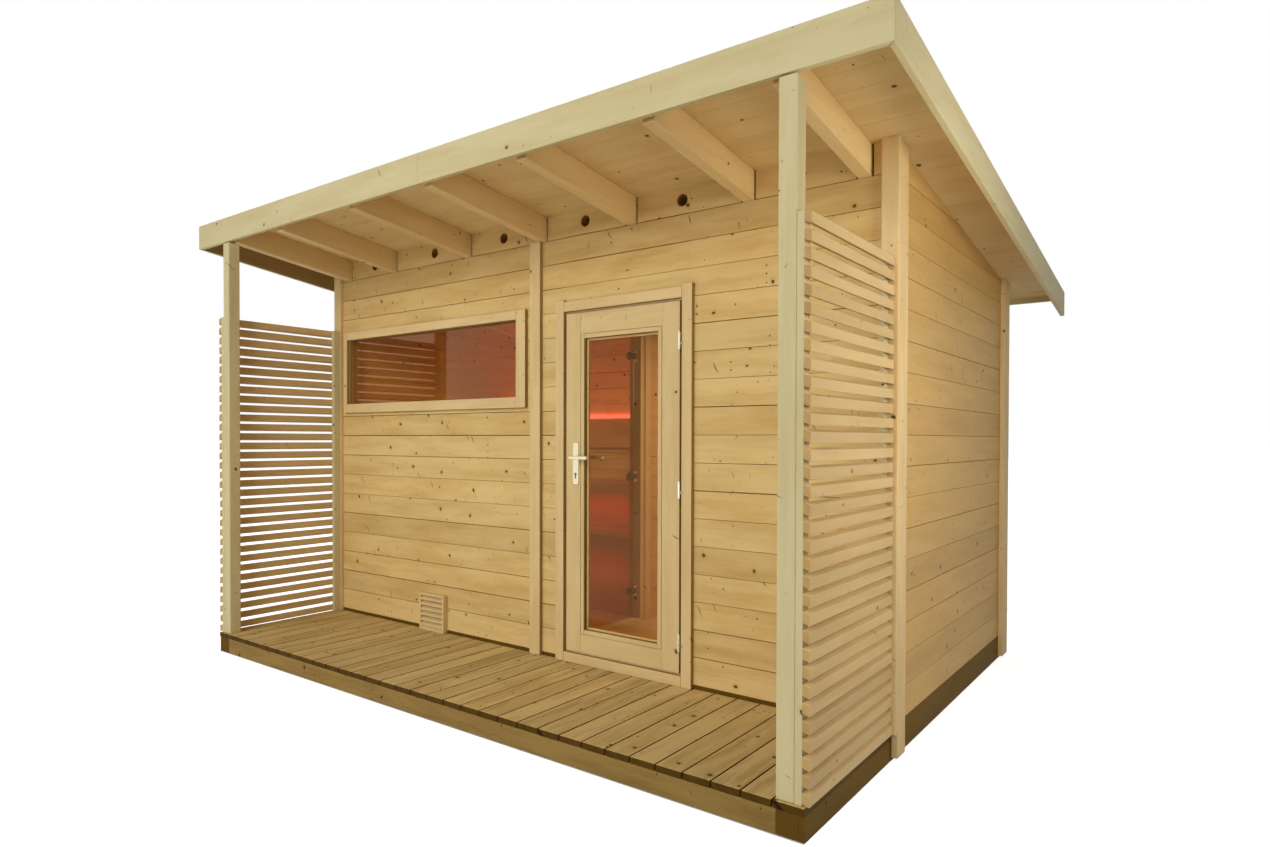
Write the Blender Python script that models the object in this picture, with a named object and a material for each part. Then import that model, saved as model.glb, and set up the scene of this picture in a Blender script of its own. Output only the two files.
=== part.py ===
"""Garden sauna cabin with a roofed terrace, slatted side screens and a glazed door.

Metres, +Z up. The front faces -Y and +X is to the right as seen from the front.
The origin lies on the ground, under the middle of the bounding box.
"""
import math

import bmesh
import bpy
from mathutils import Matrix, Vector

# Plan sizes
CABIN_WIDTH = 3.936
TERRACE_DEPTH = 0.846
CABIN_DEPTH = 2.038
ROOF_SIDE_OVERHANG = 0.278
ROOF_REAR_OVERHANG = 0.373
FASCIA_SETBACK = 0.013

# Heights
FRAME_HEIGHT = 0.089
DECK_NOSING = 0.006
FRAME_GAP = 0.008
DECK_THICKNESS = 0.028
SILL_HEIGHT = 0.020
ROOF_UNDERSIDE_AT_WALL = 2.568
ROOF_FALL = 0.132

# Timber sections
WALL_THICKNESS = 0.090
PARTITION_THICKNESS = 0.090
BEAM_WIDTH = 0.045
JOIST_WIDTH = 0.082
BEAM_LAP = 0.010
SKIRT_THICKNESS = 0.023
FLOOR_THICKNESS = 0.028
POST_SIZE = 0.069
POST_SETBACK = 0.012
POST_INSET = 0.041
RAFTER_WIDTH = 0.058
RAFTER_DEPTH = 0.136
RAFTER_SPACING = 0.620
RAFTER_SECOND_LEFT = -1.345
RAFTER_SECOND_RIGHT = 1.294
RIM_THICKNESS = 0.028
RIM_DEPTH = 0.100
SHEATHING_THICKNESS = 0.016
COVERING_THICKNESS = 0.003
FASCIA_THICKNESS = 0.024
FASCIA_DROP = 0.129
REAR_FASCIA_DROP = 0.031
TRIM_THICKNESS = 0.024
CORNER_BOARD_WIDTH = 0.074
CORNER_RETURN_WIDTH = 0.098
CORNER_RETURN_THICKNESS = 0.028
CORNER_GROUND_GAP = 0.015
CORNER_OVERLAP = 0.004
POST_ARRIS = 0.004
TRIM_ARRIS = 0.002
PLATE_ARRIS = 0.0025

# Side screens
SLAT_PITCH = 0.0600
SLAT_HEIGHT = 0.040
SLAT_THICKNESS = 0.027
SLAT_FALL = 0.009
SLAT_LAP = 0.002
SLAT_ARRIS = 0.006
SLAT_ARRIS_SLOPE = 0.3
SLAT_NOSING = 0.004
SLAT_COUNT = 33
SCREEN_BATTEN = 0.027
SCREEN_BATTEN_DEPTH = 0.045
SCREEN_BATTEN_END = 0.001
SCREEN_BATTEN_SHORT = 0.018
SCREEN_GROUND_GAP = 0.001
SCREEN_WALL_GAP = 0.0006

# Entrance door, placed by the left edge of its leaf
DOOR_LEFT = 0.190
DOOR_WIDTH = 0.736
DOOR_BOTTOM = 0.180
DOOR_HEIGHT = 1.830
DOOR_THICKNESS = 0.045
DOOR_RECESS = -0.012
DOOR_CLEARANCE = 0.003
DOOR_FRAME_WIDTH = 0.042
DOOR_TRIM_WIDTH = 0.059
DOOR_TRIM_LAP = 0.013
DOOR_TRIM_HINGE_ROOM = 0.005
DOOR_TRIM_HEAD_CUT = 0.004
DOOR_TRIM_HORN = 0.012
STILE_WIDTH = 0.124
RAIL_WIDTH = 0.138
BOTTOM_RAIL_WIDTH = 0.124
HINGE_STILE_EXTRA = 0.006
GLASS_THICKNESS = 0.014
GLASS_LAP = 0.012
HINGE_RADIUS = 0.0075
HINGE_LENGTH = 0.090
HINGE_AXIS_FORWARD = 0.018
HINGE_AXIS_OUTWARD = 0.009
HINGE_PLATE_THICKNESS = 0.0025
HINGE_PLATE_WIDTH = 0.010
HINGE_PLATE_EDGE = 0.001
HINGE_HEIGHTS = (0.335, 1.084, 1.814)

# Lever handle
HANDLE_BACKSET = 0.070
HANDLE_HEIGHT = 1.232
PLATE_WIDTH = 0.040
PLATE_TOP = 0.081
PLATE_BOTTOM = 0.146
PLATE_THICKNESS = 0.008
LEVER_REACH = 0.118
LEVER_STANDOFF = 0.052
NECK_RADIUS = 0.0085
GRIP_HEIGHT = 0.019
GRIP_DEPTH = 0.011
GRIP_ROUNDING = 0.8
GRIP_OVERLAP = 0.001
SPINDLE_RADIUS = 0.006
SPINDLE_CLEARANCE = 0.0006

# Window, placed by the inner edges of its casing
WINDOW_LEFT = -1.845
WINDOW_RIGHT = -0.190
WINDOW_BOTTOM = 1.572
WINDOW_TOP = 2.015
WINDOW_TRIM_LEFT = 0.040
WINDOW_TRIM_RIGHT = 0.075
WINDOW_TRIM_TOP = 0.054
WINDOW_TRIM_BOTTOM = 0.062
WINDOW_FRAME_WIDTH = 0.028
WINDOW_GLASS_SETBACK = 0.017

# Vents
VENT_LEFT = -1.043
VENT_WIDTH = 0.234
VENT_HEIGHT = 0.235
VENT_DEPTH = 0.034
VENT_SIDE = 0.014
VENT_HEAD = 0.015
VENT_FOOT = 0.023
VENT_LOUVRES = 6
VENT_LOUVRE_THICKNESS = 0.016
VENT_LOUVRE_LEAN = 0.55
VENT_LOUVRE_LAP = 0.004
VENT_LOUVRE_RECESS = 0.003
ROUND_VENT_RADIUS = 0.031
ROUND_VENT_BELOW_ROOF = 0.067
ROUND_VENT_COUNT = 6

# Partition between the two rooms and its glass door
PARTITION_CENTRE = -0.040
CENTRE_TRIM_WIDTH = 0.080
INNER_DOOR_START = 0.285
INNER_DOOR_WIDTH = 0.645
INNER_DOOR_TOP = 2.050
INNER_FRAME_WIDTH = 0.040
INNER_GLASS_THICKNESS = 0.008
INNER_GLASS_OFFSET = -0.009
INNER_SILL_HEIGHT = 0.018
INNER_DOOR_CLEARANCE = 0.006
INNER_AXIS_INSET = 0.025
INNER_AXIS_FORWARD = 0.020
INNER_HINGE_HEIGHTS = (0.335, 1.088, 1.875)
INNER_BARREL_LENGTH = 0.040
INNER_BARREL_RADIUS = 0.009
INNER_EAR_THICKNESS = 0.012
INNER_EAR_WEB = 0.012
INNER_ARM_SHORT = 0.002
INNER_CLAMP_RADIUS = 0.028
INNER_CLAMP_THICKNESS = 0.010
INNER_CLAMP_INSET = 0.035
KNOB_HEIGHT = 1.150
KNOB_INSET = 0.060
KNOB_LENGTH = 0.040
KNOB_FOOT_RADIUS = 0.017
KNOB_HEAD_RADIUS = 0.024

# Benches in the hot room
BENCH_SLAT_WIDTH = 0.090
BENCH_SLAT_GAP = 0.012
BENCH_SLAT_THICKNESS = 0.026
BENCH_APRON_HEIGHT = 0.052
BENCH_BEARER_WIDTH = 0.045
BENCH_BEARER_DROP = 0.020
RISER_SETBACK = 0.016
RISER_THICKNESS = 0.020
RISER_INTO_APRON = 0.3
BENCH_LAP = 0.045
UPPER_BENCH_TOP = 0.998
UPPER_BENCH_FRONT = 1.370
LOWER_BENCH_TOP = 0.668
LOWER_BENCH_FRONT = 1.000
BACKREST_BOTTOM = 1.260
BACKREST_HEIGHT = 0.235
BACKREST_THICKNESS = 0.026
BACKREST_STANDOFF = 0.030
BACKREST_BLOCK_WIDTH = 0.045
BACKREST_BLOCK_INSET = 0.100
BACKREST_BLOCK_MARGIN = 0.030
LIGHT_STRIP_GAP = 0.012
LIGHT_STRIP_SIZE = 0.014

# Small gap kept between pieces that bear on each other
SEAT = 0.0003
# Distance that a cutting tool runs on past the piece
CUT_REACH = 0.05
# Gap around the rafters where they pass through a wall
NOTCH_GAP = 0.009

# Levels and lines worked out from the sizes above
HALF_WIDTH = CABIN_WIDTH / 2
TOTAL_DEPTH = TERRACE_DEPTH + CABIN_DEPTH + ROOF_REAR_OVERHANG
DECK_FRONT = -TOTAL_DEPTH / 2
WALL_FACE = DECK_FRONT + TERRACE_DEPTH
WALL_BACK = WALL_FACE + WALL_THICKNESS
REAR_FACE = WALL_FACE + CABIN_DEPTH
REAR_INNER = REAR_FACE - WALL_THICKNESS
ROOF_FRONT = DECK_FRONT + FASCIA_SETBACK
ROOF_REAR = REAR_FACE + ROOF_REAR_OVERHANG
ROOF_HALF = HALF_WIDTH + ROOF_SIDE_OVERHANG
DECK_TOP = FRAME_HEIGHT + DECK_THICKNESS
WALL_BOTTOM = DECK_TOP + SILL_HEIGHT
ROOM_HALF = HALF_WIDTH - WALL_THICKNESS
PARTITION_LEFT = PARTITION_CENTRE - PARTITION_THICKNESS / 2
PARTITION_RIGHT = PARTITION_CENTRE + PARTITION_THICKNESS / 2
RAFTER_CENTRES = [RAFTER_SPACING * step for step in (-3, -2, -1, 0, 1, 2, 3)]
RAFTER_CENTRES[0] = -(ROOM_HALF - RAFTER_WIDTH / 2 - NOTCH_GAP / 2)
RAFTER_CENTRES[1] = RAFTER_SECOND_LEFT
RAFTER_CENTRES[-2] = RAFTER_SECOND_RIGHT
RAFTER_CENTRES[-1] = ROOM_HALF - RAFTER_WIDTH / 2 - NOTCH_GAP / 2
FIRST_VENT = -RAFTER_SPACING * (ROUND_VENT_COUNT - 1) / 2
VENT_HOLE_CENTRES = [FIRST_VENT + RAFTER_SPACING * index for index in range(ROUND_VENT_COUNT)]

DOOR_RIGHT = DOOR_LEFT + DOOR_WIDTH
DOOR_TOP = DOOR_BOTTOM + DOOR_HEIGHT
DOOR_FRONT = WALL_FACE + DOOR_RECESS
FRAME_LEFT = DOOR_LEFT - DOOR_CLEARANCE - DOOR_FRAME_WIDTH
FRAME_RIGHT = DOOR_RIGHT + DOOR_CLEARANCE + DOOR_FRAME_WIDTH
FRAME_TOP = DOOR_TOP + DOOR_CLEARANCE + DOOR_FRAME_WIDTH
INNER_DOOR_END = INNER_DOOR_START + INNER_DOOR_WIDTH


def roof_underside(y):
    """Height of the sheathing's lower face at depth y."""
    return ROOF_UNDERSIDE_AT_WALL - ROOF_FALL * (y - WALL_FACE)


def rafter_bottom(y):
    return roof_underside(y) - RAFTER_DEPTH


def below(surface, gap):
    """The same sloping surface, lowered by a gap."""
    return lambda y: surface(y) - gap


def level(height):
    return lambda y: height


def material(name, colour, roughness, metallic=0.0, alpha=1.0, glow=None):
    made = bpy.data.materials.new(name)
    made.use_nodes = True
    shader = made.node_tree.nodes["Principled BSDF"]
    shader.inputs["Base Color"].default_value = (*colour, 1.0)
    shader.inputs["Roughness"].default_value = roughness
    shader.inputs["Metallic"].default_value = metallic
    shader.inputs["Alpha"].default_value = alpha
    if glow:
        shader.inputs["Emission Color"].default_value = (*glow, 1.0)
        shader.inputs["Emission Strength"].default_value = 1.0
    made.diffuse_color = (*colour, alpha)
    return made


def add_object(name, mesh_data, paint, parent=None):
    mesh = bpy.data.meshes.new(name)
    bmesh.ops.recalc_face_normals(mesh_data, faces=mesh_data.faces)
    mesh_data.to_mesh(mesh)
    mesh_data.free()
    thing = bpy.data.objects.new(name, mesh)
    bpy.context.collection.objects.link(thing)
    if paint:
        mesh.materials.append(paint)
    if parent:
        thing.parent = parent
        thing.matrix_parent_inverse = parent.matrix_world.inverted()
    return thing


def add_block(shape, low, high):
    """Adds a box between two corners to a bmesh."""
    size = Vector(high) - Vector(low)
    middle = (Vector(high) + Vector(low)) / 2
    place = Matrix.Translation(middle) @ Matrix.Diagonal((*size, 1.0))
    bmesh.ops.create_cube(shape, size=1.0, matrix=place)


def block(name, low, high, paint, parent=None):
    shape = bmesh.new()
    add_block(shape, low, high)
    return add_object(name, shape, paint, parent)


def add_between(shape, outline, bottom, top):
    """Raises a plan outline from one sloping surface to another."""
    base = [shape.verts.new((x, y, bottom(y))) for x, y in outline]
    lower = shape.faces.new(base)
    raised = bmesh.ops.extrude_face_region(shape, geom=[lower])
    for vert in [item for item in raised["geom"] if isinstance(item, bmesh.types.BMVert)]:
        vert.co.z = top(vert.co.y)


def between(name, outline, bottom, top, paint):
    shape = bmesh.new()
    add_between(shape, outline, bottom, top)
    return add_object(name, shape, paint)


def rectangle(x0, x1, y0, y1):
    return [(x0, y0), (x1, y0), (x1, y1), (x0, y1)]


def add_along_y(shape, profile, y0, y1):
    """Draws an XZ profile out along Y."""
    ring = [shape.verts.new((x, y0, z)) for x, z in profile]
    face = shape.faces.new(ring)
    raised = bmesh.ops.extrude_face_region(shape, geom=[face])
    moved = [item for item in raised["geom"] if isinstance(item, bmesh.types.BMVert)]
    bmesh.ops.translate(shape, verts=moved, vec=(0.0, y1 - y0, 0.0))


def add_rod(shape, start, end, radius, sides=16):
    """Adds a closed round rod between two points."""
    start = Vector(start)
    axis = Vector(end) - start
    turn = Vector((0.0, 0.0, 1.0)).rotation_difference(axis).to_matrix().to_4x4()
    place = Matrix.Translation(start + axis / 2) @ turn
    bmesh.ops.create_cone(shape, cap_ends=True, segments=sides, radius1=radius, radius2=radius,
                          depth=axis.length, matrix=place)


def cutter(name, shape):
    tool = add_object(name, shape, None)
    tool.hide_render = True
    tool.display_type = "WIRE"
    return tool


def combine(thing, tool, operation):
    step = thing.modifiers.new(operation.title(), "BOOLEAN")
    step.operation = operation
    step.solver = "EXACT"
    step.object = tool


def ease_edges(thing, width, segments=1):
    """Softens the arrises of a planed board."""
    step = thing.modifiers.new("Arris", "BEVEL")
    step.width = width
    step.segments = segments
    step.limit_method = "ANGLE"
    step.angle_limit = math.radians(40)


def ring(name, outer, inner, y0, y1, paint, parent=None):
    """A flat rectangular frame in the XZ plane with a depth along Y.

    outer and inner are (left, right, bottom, top).
    """
    corners = [(0, 2), (1, 2), (1, 3), (0, 3)]
    points = [(edges[a], edges[b]) for edges in (outer, inner) for a, b in corners]
    sides = [(index, (index + 1) % 4, (index + 1) % 4 + 4, index + 4) for index in range(4)]
    return flat_plate(name, points, sides, y0, y1, paint, parent)


def flat_plate(name, points, sides, y0, y1, paint, parent=None):
    """A flat shape in the XZ plane, given by its points and the faces between them, with a depth along Y."""
    shape = bmesh.new()
    verts = [shape.verts.new((x, y0, z)) for x, z in points]
    faces = [shape.faces.new([verts[index] for index in side]) for side in sides]
    raised = bmesh.ops.extrude_face_region(shape, geom=faces)
    moved = [item for item in raised["geom"] if isinstance(item, bmesh.types.BMVert)]
    bmesh.ops.translate(shape, verts=moved, vec=(0.0, y1 - y0, 0.0))
    return add_object(name, shape, paint, parent)


def pivot(name, location):
    """An empty on a joint's axis that carries the pieces which turn about it."""
    empty = bpy.data.objects.new(name, None)
    empty.location = location
    bpy.context.collection.objects.link(empty)
    bpy.context.view_layer.update()
    return empty


def build_ground_frames():
    """Impregnated frames that the terrace and the cabin stand on."""
    front = DECK_FRONT + DECK_NOSING
    joist_outer = HALF_WIDTH - SKIRT_THICKNESS
    joist_inner = joist_outer - JOIST_WIDTH
    back = WALL_FACE - FRAME_GAP
    shape = bmesh.new()
    for side in (-1, 1):
        edges = sorted((side * HALF_WIDTH, side * joist_inner))
        add_block(shape, (edges[0], front, 0.0), (edges[1], back, FRAME_HEIGHT))
    terrace = add_object("terrace_frame", shape, TREATED)
    cross = bmesh.new()
    for y in (front, back - BEAM_WIDTH):
        add_block(cross, (-joist_inner - BEAM_LAP, y, 0.0),
                  (joist_inner + BEAM_LAP, y + BEAM_WIDTH, FRAME_HEIGHT))
    combine(terrace, cutter("terrace_cross_beams", cross), "UNION")

    ring_shape = bmesh.new()
    for side in (-1, 1):
        edges = sorted((side * HALF_WIDTH, side * (HALF_WIDTH - BEAM_WIDTH)))
        add_block(ring_shape, (edges[0], WALL_FACE, 0.0), (edges[1], REAR_FACE, WALL_BOTTOM - SEAT))
    cabin = add_object("cabin_frame", ring_shape, TREATED)
    cross = bmesh.new()
    inside = HALF_WIDTH - BEAM_WIDTH + BEAM_LAP
    for y in (WALL_FACE, REAR_FACE - BEAM_WIDTH):
        add_block(cross, (-inside, y, 0.0), (inside, y + BEAM_WIDTH, WALL_BOTTOM - SEAT))
    middle = (WALL_FACE + REAR_FACE) / 2
    floor_under = WALL_BOTTOM - FLOOR_THICKNESS
    add_block(cross, (-inside, middle - BEAM_WIDTH / 2, 0.0),
              (inside, middle + BEAM_WIDTH / 2, floor_under - SEAT))
    combine(cabin, cutter("cabin_cross_beams", cross), "UNION")


def build_floors():
    block("terrace_deck", (-HALF_WIDTH, DECK_FRONT, FRAME_HEIGHT + SEAT),
          (HALF_WIDTH, WALL_FACE - SEAT, DECK_TOP), TREATED)
    inner = HALF_WIDTH - BEAM_WIDTH - SEAT
    block("cabin_floor", (-inner, WALL_FACE + BEAM_WIDTH + SEAT, WALL_BOTTOM - FLOOR_THICKNESS),
          (inner, REAR_FACE - BEAM_WIDTH - SEAT, WALL_BOTTOM - 2 * SEAT), SPRUCE)


def rafter_notches(name, y0, y1):
    """Slots that let the rafters pass through a wall."""
    shape = bmesh.new()
    half = RAFTER_WIDTH / 2 + NOTCH_GAP
    for centre in RAFTER_CENTRES:
        add_between(shape, rectangle(centre - half, centre + half, y0 - CUT_REACH, y1 + CUT_REACH),
                    below(rafter_bottom, SEAT), below(roof_underside, -CUT_REACH))
    return cutter(name, shape)


def build_front_wall():
    top = below(roof_underside, SEAT)
    pieces = []
    left = between("front_wall_left", rectangle(-HALF_WIDTH, FRAME_LEFT - SEAT, WALL_FACE, WALL_BACK),
                   level(WALL_BOTTOM), top, SPRUCE)
    pieces.append(left)
    pieces.append(between("front_wall_right",
                          rectangle(FRAME_RIGHT + SEAT, HALF_WIDTH, WALL_FACE, WALL_BACK),
                          level(WALL_BOTTOM), top, SPRUCE))
    pieces.append(between("front_wall_over_door", rectangle(FRAME_LEFT, FRAME_RIGHT, WALL_FACE, WALL_BACK),
                          level(FRAME_TOP + SEAT), top, SPRUCE))
    window = bmesh.new()
    add_block(window, (WINDOW_LEFT - WINDOW_FRAME_WIDTH - SEAT, WALL_FACE - CUT_REACH,
                       WINDOW_BOTTOM - WINDOW_FRAME_WIDTH - SEAT),
              (WINDOW_RIGHT + WINDOW_FRAME_WIDTH + SEAT, WALL_BACK + CUT_REACH,
               WINDOW_TOP + WINDOW_FRAME_WIDTH + SEAT))
    combine(left, cutter("window_hole", window), "DIFFERENCE")
    slots = rafter_notches("front_rafter_slots", WALL_FACE, WALL_BACK)
    holes = bmesh.new()
    height = ROOF_UNDERSIDE_AT_WALL - ROUND_VENT_BELOW_ROOF
    for x in VENT_HOLE_CENTRES:
        add_rod(holes, (x, WALL_FACE - CUT_REACH, height), (x, WALL_BACK + CUT_REACH, height),
                ROUND_VENT_RADIUS, 20)
    bores = cutter("round_vent_holes", holes)
    for piece in pieces:
        combine(piece, slots, "DIFFERENCE")
        combine(piece, bores, "DIFFERENCE")


def build_other_walls():
    top = below(roof_underside, SEAT)
    rear = between("rear_wall", rectangle(-HALF_WIDTH, HALF_WIDTH, REAR_INNER, REAR_FACE),
                   level(WALL_BOTTOM), top, SPRUCE)
    combine(rear, rafter_notches("rear_rafter_slots", REAR_INNER, REAR_FACE), "DIFFERENCE")
    between("left_wall", rectangle(-HALF_WIDTH, -ROOM_HALF, WALL_BACK + SEAT, REAR_INNER - SEAT),
            level(WALL_BOTTOM), top, SPRUCE)
    between("right_wall", rectangle(ROOM_HALF, HALF_WIDTH, WALL_BACK + SEAT, REAR_INNER - SEAT),
            level(WALL_BOTTOM), top, SPRUCE)


def build_partition():
    """Wall between the rooms, with a framed doorway for the glass door."""
    top = below(rafter_bottom, 2 * SEAT)
    start = WALL_FACE + INNER_DOOR_START - INNER_FRAME_WIDTH
    end = WALL_FACE + INNER_DOOR_END + INNER_FRAME_WIDTH
    lintel = INNER_DOOR_TOP + INNER_FRAME_WIDTH
    between("partition_front", rectangle(PARTITION_LEFT, PARTITION_RIGHT, WALL_BACK + SEAT, start - SEAT),
            level(WALL_BOTTOM), top, SPRUCE)
    between("partition_rear", rectangle(PARTITION_LEFT, PARTITION_RIGHT, end + SEAT, REAR_INNER - SEAT),
            level(WALL_BOTTOM), top, SPRUCE)
    between("partition_over_door", rectangle(PARTITION_LEFT, PARTITION_RIGHT, start, end),
            level(lintel + SEAT), top, SPRUCE)
    shape = bmesh.new()
    foot = WALL_BOTTOM
    frame_profile = [(start, foot), (end, foot), (end, lintel), (start, lintel)]
    sill = foot + INNER_SILL_HEIGHT
    opening = [(start + INNER_FRAME_WIDTH, sill), (end - INNER_FRAME_WIDTH, sill),
               (end - INNER_FRAME_WIDTH, INNER_DOOR_TOP), (start + INNER_FRAME_WIDTH, INNER_DOOR_TOP)]
    outside = [shape.verts.new((PARTITION_LEFT, y, z)) for y, z in frame_profile]
    inside = [shape.verts.new((PARTITION_LEFT, y, z)) for y, z in opening]
    faces = []
    for index in range(4):
        after = (index + 1) % 4
        faces.append(shape.faces.new((outside[index], outside[after], inside[after], inside[index])))
    raised = bmesh.ops.extrude_face_region(shape, geom=faces)
    moved = [item for item in raised["geom"] if isinstance(item, bmesh.types.BMVert)]
    bmesh.ops.translate(shape, verts=moved, vec=(PARTITION_THICKNESS, 0.0, 0.0))
    return add_object("inner_door_frame", shape, SPRUCE)


def build_inner_door(frame):
    """Frameless glass door on three clamp hinges, held by ears on its rear jamb."""
    jamb = WALL_FACE + INNER_DOOR_END
    axis_x = PARTITION_CENTRE + INNER_GLASS_OFFSET + INNER_AXIS_FORWARD
    axis_y = WALL_FACE + INNER_DOOR_END - INNER_AXIS_INSET
    swing = pivot("inner_door_pivot", (axis_x, axis_y, WALL_BOTTOM))
    glass_x = PARTITION_CENTRE + INNER_GLASS_OFFSET
    half = INNER_GLASS_THICKNESS / 2
    rear = WALL_FACE + INNER_DOOR_END - INNER_DOOR_CLEARANCE
    front = WALL_FACE + INNER_DOOR_START + INNER_DOOR_CLEARANCE
    low = WALL_BOTTOM + INNER_SILL_HEIGHT + INNER_DOOR_CLEARANCE
    block("inner_door_glass", (glass_x - half, front, low),
          (glass_x + half, rear, INNER_DOOR_TOP - INNER_DOOR_CLEARANCE), GLASS, swing)
    face = glass_x + half + SEAT
    quarter_turn = Matrix.Rotation(math.radians(90), 4, "Y")
    for place, height in zip(("bottom", "middle", "top"), INNER_HINGE_HEIGHTS):
        disc = bmesh.new()
        centre = (face + INNER_CLAMP_THICKNESS / 2, axis_y - INNER_CLAMP_INSET, height)
        bmesh.ops.create_cone(disc, cap_ends=True, segments=28, radius1=INNER_CLAMP_RADIUS,
                              radius2=INNER_CLAMP_RADIUS, depth=INNER_CLAMP_THICKNESS,
                              matrix=Matrix.Translation(centre) @ quarter_turn)
        clamp = add_object("inner_door_hinge_" + place, disc, METAL, swing)
        reach = INNER_BARREL_LENGTH / 2
        arm_reach = reach - INNER_ARM_SHORT
        arm = bmesh.new()
        add_block(arm, (face + INNER_ARM_SHORT / 2, axis_y - INNER_CLAMP_INSET, height - arm_reach),
                  (axis_x, axis_y, height + arm_reach))
        combine(clamp, cutter("inner_arm_" + place, arm), "UNION")
        barrel = bmesh.new()
        add_rod(barrel, (axis_x, axis_y, height - reach), (axis_x, axis_y, height + reach),
                INNER_BARREL_RADIUS, 16)
        combine(clamp, cutter("inner_barrel_" + place, barrel), "UNION")
        for word, direction in (("below", -1), ("above", 1)):
            low, high = sorted((height + direction * (reach + SEAT),
                                height + direction * (reach + SEAT + INNER_EAR_THICKNESS)))
            ear = bmesh.new()
            add_rod(ear, (axis_x, axis_y, low), (axis_x, axis_y, high), INNER_BARREL_RADIUS, 16)
            combine(frame, cutter("ear_" + word + "_" + place, ear), "UNION")
            web = bmesh.new()
            add_block(web, (axis_x - INNER_EAR_WEB / 2, axis_y, low),
                      (axis_x + INNER_EAR_WEB / 2, jamb + INNER_ARM_SHORT, high))
            combine(frame, cutter("ear_web_" + word + "_" + place, web), "UNION")
    knob = bmesh.new()
    centre = (face + KNOB_LENGTH / 2, front + KNOB_INSET, KNOB_HEIGHT)
    bmesh.ops.create_cone(knob, cap_ends=True, segments=20, radius1=KNOB_FOOT_RADIUS,
                          radius2=KNOB_HEAD_RADIUS, depth=KNOB_LENGTH,
                          matrix=Matrix.Translation(centre) @ quarter_turn)
    add_object("inner_door_knob", knob, BENCH_WOOD, swing)


def build_roof():
    front = ROOF_FRONT + FASCIA_THICKNESS
    rear = ROOF_REAR - FASCIA_THICKNESS
    inner = ROOF_HALF - FASCIA_THICKNESS
    half = RAFTER_WIDTH / 2

    shape = bmesh.new()
    for centre in RAFTER_CENTRES:
        add_between(shape, rectangle(centre - half, centre + half, front + RIM_THICKNESS / 2, rear - SEAT),
                    rafter_bottom, below(roof_underside, SEAT))
    frame = add_object("roof_frame", shape, SPRUCE)
    rim = bmesh.new()
    add_between(rim, rectangle(-inner + SEAT, inner - SEAT, front + SEAT, front + RIM_THICKNESS),
                below(roof_underside, RIM_DEPTH), below(roof_underside, SEAT))
    combine(frame, cutter("front_rim", rim), "UNION")

    sheathing_top = below(roof_underside, -SHEATHING_THICKNESS)
    roof_top = below(roof_underside, -SHEATHING_THICKNESS - COVERING_THICKNESS)
    field = rectangle(-inner + SEAT, inner - SEAT, front + SEAT, rear - SEAT)
    between("roof_boards", field, roof_underside, below(sheathing_top, SEAT), SPRUCE)
    between("roof_covering", field, sheathing_top, roof_top, FELT)

    edge = SEAT / 2
    fascia_bottom = level(roof_underside(ROOF_FRONT) - FASCIA_DROP)
    between("front_fascia", [(-ROOF_HALF + edge, ROOF_FRONT), (ROOF_HALF - edge, ROOF_FRONT),
                             (inner - edge, front), (-inner + edge, front)],
            fascia_bottom, roof_top, SPRUCE)
    barge_bottom = below(roof_underside, FASCIA_DROP)
    for side, name in ((-1, "bargeboard_left"), (1, "bargeboard_right")):
        between(name, [(side * ROOF_HALF, ROOF_FRONT + SEAT), (side * ROOF_HALF, ROOF_REAR),
                       (side * inner, ROOF_REAR), (side * inner, front + SEAT)],
                barge_bottom, roof_top, SPRUCE)
    between("rear_fascia", rectangle(-inner + SEAT, inner - SEAT, rear, ROOF_REAR),
            level(roof_underside(ROOF_REAR) - REAR_FASCIA_DROP), roof_top, SPRUCE)


def build_posts_and_screens():
    post_front = DECK_FRONT + POST_SETBACK
    post_outer = HALF_WIDTH - POST_INSET
    screen_top = DECK_TOP + SCREEN_GROUND_GAP + SLAT_COUNT * SLAT_PITCH - SCREEN_BATTEN_SHORT
    rear_end = WALL_FACE - TRIM_THICKNESS - SCREEN_WALL_GAP
    for side, word in ((-1, "left"), (1, "right")):
        edges = sorted((side * post_outer, side * (post_outer - POST_SIZE)))
        post = between("post_" + word, rectangle(edges[0], edges[1], post_front, post_front + POST_SIZE),
                       level(DECK_TOP + SEAT), below(rafter_bottom, SEAT), SPRUCE)
        ease_edges(post, POST_ARRIS)

        batten_in = post_outer + SEAT
        batten_out = batten_in + SCREEN_BATTEN
        shape = bmesh.new()
        for y in (post_front, rear_end - SCREEN_BATTEN_END - SCREEN_BATTEN_DEPTH):
            edges = sorted((side * batten_in, side * batten_out))
            add_block(shape, (edges[0], y, DECK_TOP + SEAT), (edges[1], y + SCREEN_BATTEN_DEPTH, screen_top))
        screen = add_object("screen_" + word, shape, SPRUCE)
        slats = bmesh.new()
        for index in range(SLAT_COUNT):
            add_slat(slats, side, batten_out, DECK_TOP + SCREEN_GROUND_GAP + index * SLAT_PITCH,
                     post_front - SLAT_NOSING, rear_end)
        combine(screen, cutter("slats_" + word, slats), "UNION")


def add_slat(shape, side, inner_face, bottom, y0, y1):
    """One rhomboid slat: its top and bottom fall away to the outside, with eased outer edges."""
    near = inner_face - SLAT_LAP
    far = inner_face + SLAT_THICKNESS
    low_in = bottom + SLAT_FALL
    ease = SLAT_ARRIS
    rise = SLAT_ARRIS * SLAT_ARRIS_SLOPE
    profile = [(near, low_in), (far - ease, bottom + rise), (far, bottom + ease),
               (far, bottom + SLAT_HEIGHT - ease), (far - ease, bottom + SLAT_HEIGHT + rise),
               (near, low_in + SLAT_HEIGHT)]
    add_along_y(shape, [(side * x, z) for x, z in profile], y0, y1)


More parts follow.
